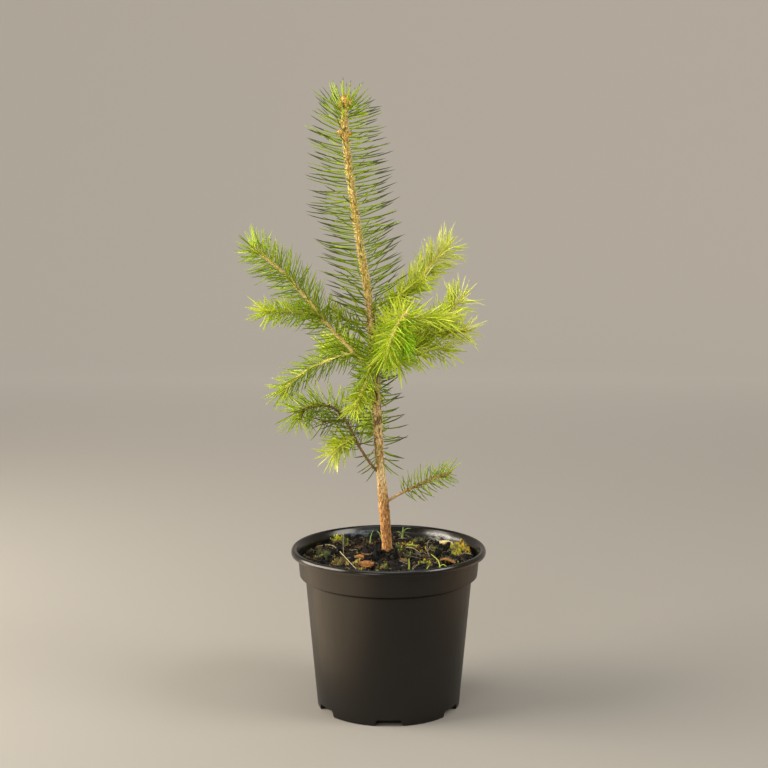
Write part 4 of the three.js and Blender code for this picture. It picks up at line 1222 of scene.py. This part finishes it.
# an egg-shaped bud wrapped in pointed scales
def addBud(bag, root, aim, length, width):
    across = aim.orthogonal().normalized()
    over = aim.cross(across)

    def radiusAt(t):
        return width * math.sin(math.pi * (0.1 + 0.86 * t)) ** 0.8

    rings = []
    for i in range(buds["steps"] + 1):
        t = i / buds["steps"]
        r = radiusAt(t)
        rings.append(ringAt(root + aim * (length * t * buds["body"]), across, over, r, r, buds["facets"]))
    addRings(bag, rings)
    for i in range(buds["scales"]):
        t = lerp(0.02, 0.82, i / (buds["scales"] - 1))
        out = swing(across, over, i * golden)
        flat = aim.cross(out)
        r = radiusAt(t)
        start = root + aim * (length * t * buds["body"]) + out * (r * 0.9)
        tip = start + aim * (length * 0.3) + out * (width * 0.16 - r * 0.22)
        middle = start.lerp(tip, 0.45) + out * (width * 0.1)
        addRings(bag, [[start], [middle + flat * (width * 0.36), middle + out * (width * 0.1),
                                 middle - flat * (width * 0.36), middle - out * (width * 0.06)], [tip]])


# the line of a shoot from its foot, climbing as its rises say
def walkLimb(foot, spec):
    steps = 24
    points = [foot.copy()]
    for i in range(steps):
        ahead = swing(turnOf(spec["heading"]), upward, atShare(spec["rises"], (i + 0.5) / steps))
        points.append(points[-1] + ahead * (spec["length"] / steps))
    return splineThrough(points)


# the tint of a needle, mostly near the tone that its share of the twig asks for; lift makes it paler, painted
# light for needles that face up
def toneAt(tones, share, rng, lift=0.0):
    wanted = tones[min(int(share * len(tones)), len(tones) - 1)]
    if wanted >= needles["vivid"]:
        return needles["vivid"] if rng.random() < needles["vividShare"] else rng.choice(needles["vividMix"])
    near = atShare([min(tone, needles["palest"]) for tone in tones], share)
    return min(near + rng.gauss(0, needles["toneJitter"]) + lift, needles["palest"])


# a direction square to the twig, lifted a little toward the light
def needleTurn(across, over, ahead, turn):
    outward = (swing(across, over, turn) + upward * needles["lift"]).normalized()
    return (outward - ahead * outward.dot(ahead)).normalized()


# a twig with its needles and end bud, bare at its foot
def dressTwig(place, spec, start, rng, bare, girth, budSize):
    heading = math.radians(spec["heading"])
    side = Vector((-math.sin(heading), math.cos(heading), 0))
    stemBag = stemBags[spec.get("stem", "twigs_green")]

    def radiusAt(t):
        return lerp(girth[0], girth[1], t ** 0.8)

    addRod(stemBag, place, side, radiusAt, 10, max(12, round(spec["length"] * 1.2)), start, wobble=0.22)
    gather = spec.get("gather", needles["gather"])
    for i in range(spec["count"]):
        t = lerp(bare, 0.995, ((i + 0.5 + rng.uniform(-0.3, 0.3)) / spec["count"]) ** gather)
        share = (t - bare) / (1 - bare)
        ahead, across, over = frameAt(place, side, t)
        for _ in range(3):  # a needle that meets the trunk is tried again, then left out
            outward = needleTurn(across, over, ahead, i * golden + rng.gauss(0, needles["turnJitter"]))
            facing = outward.y < needles["frontFrom"] and share < needles["frontUntil"]
            if facing and rng.random() < spec.get("part", 0):
                continue
            angle = atShare(spec["spread"], share) + rng.gauss(0, atShare(needles["jitter"], share))
            angle = min(max(angle, needles["limits"][0]), needles["limits"][1])
            length = spec["needle"] * (1 + rng.uniform(-1, 1) * needles["lengthJitter"])
            length *= needles["footLength"] if share < needles["footShare"] else 1.0
            past = max(share - needles["tipShare"], 0) / (1 - needles["tipShare"])
            length *= lerp(1, spec.get("tip", 1), past)
            root = place(t) + outward * (radiusAt(t) * 0.85)
            if not meetsTrunk(root, ahead, outward, angle, length):
                break
        else:
            continue
        # needles that face up are dealt paler tints: painted light on the tops of the shoots
        tone = toneAt(spec["tone"], share, rng, outward.z * 0.45)
        aim = swing(ahead, outward, angle)
        addPeg(stemBag, root, aim, ahead.cross(outward).normalized(), 0.85)
        aged = spec.get("aged") if tone < needles["agedBelow"] else None
        addNeedle(tone, root + aim * 0.4, ahead, outward, angle, length - 0.4,
                  needles["bend"] + rng.uniform(-12, 13), aged, rng.uniform(*needles["thickness"]))
    ahead = frameAt(place, side, 1.0)[0]
    addBud(stemBag if budSize > 1 else budBags["twig_buds"], place(1.0) - ahead * 0.4, ahead,
           buds["twigLength"] * budSize, buds["twigWidth"] * budSize)


def growShoots():
    rng = random.Random(needles["seed"])
    for shoot in shoots:
        place = walkLimb(trunkAt(shoot["height"]), shoot)
        dressTwig(place, shoot, 0.01, rng, shoot["bare"], shoot["girth"], shoot.get("bud", 1))
        for side in shoot.get("sides", []):
            twig = walkLimb(place(side["at"]), side)
            dressTwig(twig, side, 0.0, rng, 0.06, side.get("girth", [0.8, 0.45]), buds["sideSize"])


def growSleeves():
    rng = random.Random(needles["seed"] + 1)
    for row in roots:
        sleeve, t, z = row["sleeve"], row["t"], row["z"]
        ahead, across, over = trunkFrame(z)
        outward = swing(across, over, row["turn"])
        tilt = atShare(sleeve["tilt"], t) * outward.x
        angle = atShare(sleeve["spread"], t) + tilt + rng.gauss(0, sleeve["wander"])
        length = sleeve["length"] * atShare(sleeve["scale"], t) * (1 + rng.uniform(-1, 0.8) * 0.13)
        root = trunkAt(z) + outward * (atPlace(trunk["girth"], z) + 0.05)
        aim = swing(ahead, outward, angle)
        addPeg(stemBags["twigs_golden"], root, aim, ahead.cross(outward).normalized(), 1.0)
        tone = toneAt(sleeve["tone"], t, rng)
        bend = needles["bend"] + rng.uniform(-10, 12)
        aged = sleeve["aged"] if rng.random() < needles["sleeveAged"] else None
        addNeedle(tone, root + aim * 0.5, ahead, outward, angle, length - 0.5, bend, aged,
                  rng.uniform(*needles["sleeveThickness"]))


def makeBuds():
    for z, turn, lean, length, width in buds["leader"]:
        ahead, across, over = trunkFrame(z)
        outward = swing(across, over, turn)
        aim = swing(ahead, outward, lean).normalized()
        out = atPlace(trunk["girth"], z) * 0.7 * math.sin(math.radians(lean))
        addBud(budBags["buds"], trunkAt(min(z, 369)) + outward * out, aim, length, width)
    for name, stops in buds["tints"].items():
        makePiece(name, budBags[name], grainedMaterial(name, stops, 0.55, (900, 4)))


def needleMaterial(name, colour):
    material, tree, shader = newMaterial(name, colour, 0.5, Specular_IOR_Level=0.25)
    vector = coordinates(tree)
    tree.links.new(greyOf(tree, noiseOf(tree, vector, 600, 3), 0.44, 0.62), shader.inputs["Roughness"])
    bumpOf(tree, shader, noiseOf(tree, vector, 2600, 2), 0.00008, 0.3)
    return material


def makeFoliage():
    masses, boughs = (sorted(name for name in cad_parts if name.startswith(start))
                      for start in ("needles_", "bough_"))
    for name, colour in needles["tints"] + [(needles["aged"], needles["agedColour"])]:
        makePiece(name, needleBags[name], needleMaterial(name, colour),
                  masses, 40)
    for name, stops in stemTints.items():
        material = grainedMaterial(name, stops, 0.7, (700, 5), depth=0.0003, strength=0.6)
        makePiece(name, stemBags[name], material, boughs)


growShoots()
growSleeves()
print("shoots grown:", ", ".join(shoot["name"] for shoot in shoots))
makeBuds()
makeFoliage()
print("needles:", {name: len(bag["faces"]) for name, bag in needleBags.items()})

studio = {
    # the focal length is in dots of a picture 768 wide, turned into that of 36 mm film
    "lens": 1496.2 / 768 * 36, "film": 36, "eye": (-2.81, -900, 325.05), "pitch": 7.89,
    # the floor runs flat, bends up and ends as a wall; this and the rest are in metres
    "flatTo": 1.7, "sweepRound": 0.8, "wallTop": 2.6, "facets": 96, "sweepSteps": 24,
    # place, aim, size, watts, colour, whether it only shows in the shine
    "lights": [
        ((-0.95, -0.22, 0.62), (0, 0, 0.2), 0.7, 14, (1.0, 0.95, 0.86), False),
        ((-0.9, 0.2, 0.3), (0, 0, 0.1), 0.5, 6, (1.0, 0.93, 0.82), False),
        ((0.9, -0.3, 0.9), (0.1, 0.2, 0.3), 0.6, 9, (1.0, 0.98, 0.94), False),
        ((0.0, -0.1, 1.4), (0, 0, 0.1), 1.0, 4.5, (0.88, 0.94, 1.0), False),
        ((-0.5, -1.25, 0.55), (0, 0, 0.2), 0.6, 4.0, (1.0, 0.97, 0.92), False),
        ((0.0, -0.35, 1.3), (0, 0, 0.1), 1.3, 10, (0.8, 0.92, 1.0), True),
        ((-0.37, -0.11, 0.004), (-0.37, -0.11, 1), 0.6, 1.2, (1.0, 0.75, 0.47), True),
        ((0.45, 0.02, 0.004), (0.45, 0.02, 1), 0.5, 0.55, (1.0, 0.6, 0.3), True),
    ],
    "world": "b4b0aa", "worldStrength": 0.27,
    "floorColour": "9a948b",
    # the floor glows more the further it is behind the plant, and faintly all round
    "glow": 0.8, "glowDepth": (0.15, 1.5), "faintGlow": 0.7, "faintRound": (1.0, 2.3),
}


def floorPaint():
    material, tree, shader = newMaterial("studio_floor", studio["floorColour"], 0.9)
    x, y, _ = axesOf(tree)
    around = greyOf(tree, radiusOf(tree, x, y), 0, studio["faintGlow"], *studio["faintRound"])
    behind = greyOf(tree, y, 0, studio["glow"], *studio["glowDepth"])
    shader.inputs["Emission Color"].default_value = linear(studio["floorColour"])
    tree.links.new(mathOf(tree, "MAXIMUM", behind, around), shader.inputs["Emission Strength"])
    return material


def makeFloor():
    flat, bend, steps = studio["flatTo"], studio["sweepRound"], studio["sweepSteps"]
    points = [Vector((0, 0)), Vector((flat * 0.5, 0)), Vector((flat, 0))]
    for i in range(1, steps + 1):
        a = math.pi / 2 * i / steps
        points.append(Vector((flat + math.sin(a) * bend, bend - math.cos(a) * bend)))
    points.append(Vector((flat + bend, studio["wallTop"])))
    bag = turnedBag(points, studio["facets"])
    bag["faces"].pop()  # open at the top
    floor = newObject("floor", bag, 1)
    floor.data.materials.append(floorPaint())


def makeLights():
    for i, (spot, aim, size, watts, colour, shineOnly) in enumerate(studio["lights"]):
        data = bpy.data.lights.new(f"softbox_{i + 1}", "AREA")
        data.shape, data.size, data.energy, data.color = "DISK", size, watts, colour
        lamp = bpy.data.objects.new(data.name, data)
        lamp.location = spot
        lamp.visible_camera, lamp.visible_diffuse = False, not shineOnly
        lamp.rotation_euler = (Vector(aim) - Vector(spot)).to_track_quat("-Z", "Y").to_euler()
        scene.collection.objects.link(lamp)
    world = bpy.data.worlds.new("studio")
    world.use_nodes = True
    back = world.node_tree.nodes["Background"]
    back.inputs["Color"].default_value = linear(studio["world"])
    back.inputs["Strength"].default_value = studio["worldStrength"]
    scene.world = world
    scene.view_settings.view_transform = "Standard"


def makeCamera():
    data = bpy.data.cameras.new("camera")
    data.sensor_width, data.lens = studio["film"], studio["lens"]
    data.clip_start, data.clip_end = 0.01, 20
    camera = bpy.data.objects.new("camera", data)
    camera.location = Vector(studio["eye"]) * mm
    camera.rotation_euler = (math.radians(90 - studio["pitch"]), 0, 0)
    scene.collection.objects.link(camera)
    scene.camera = camera


makeFloor()
makeLights()
makeCamera()
print("studio made")
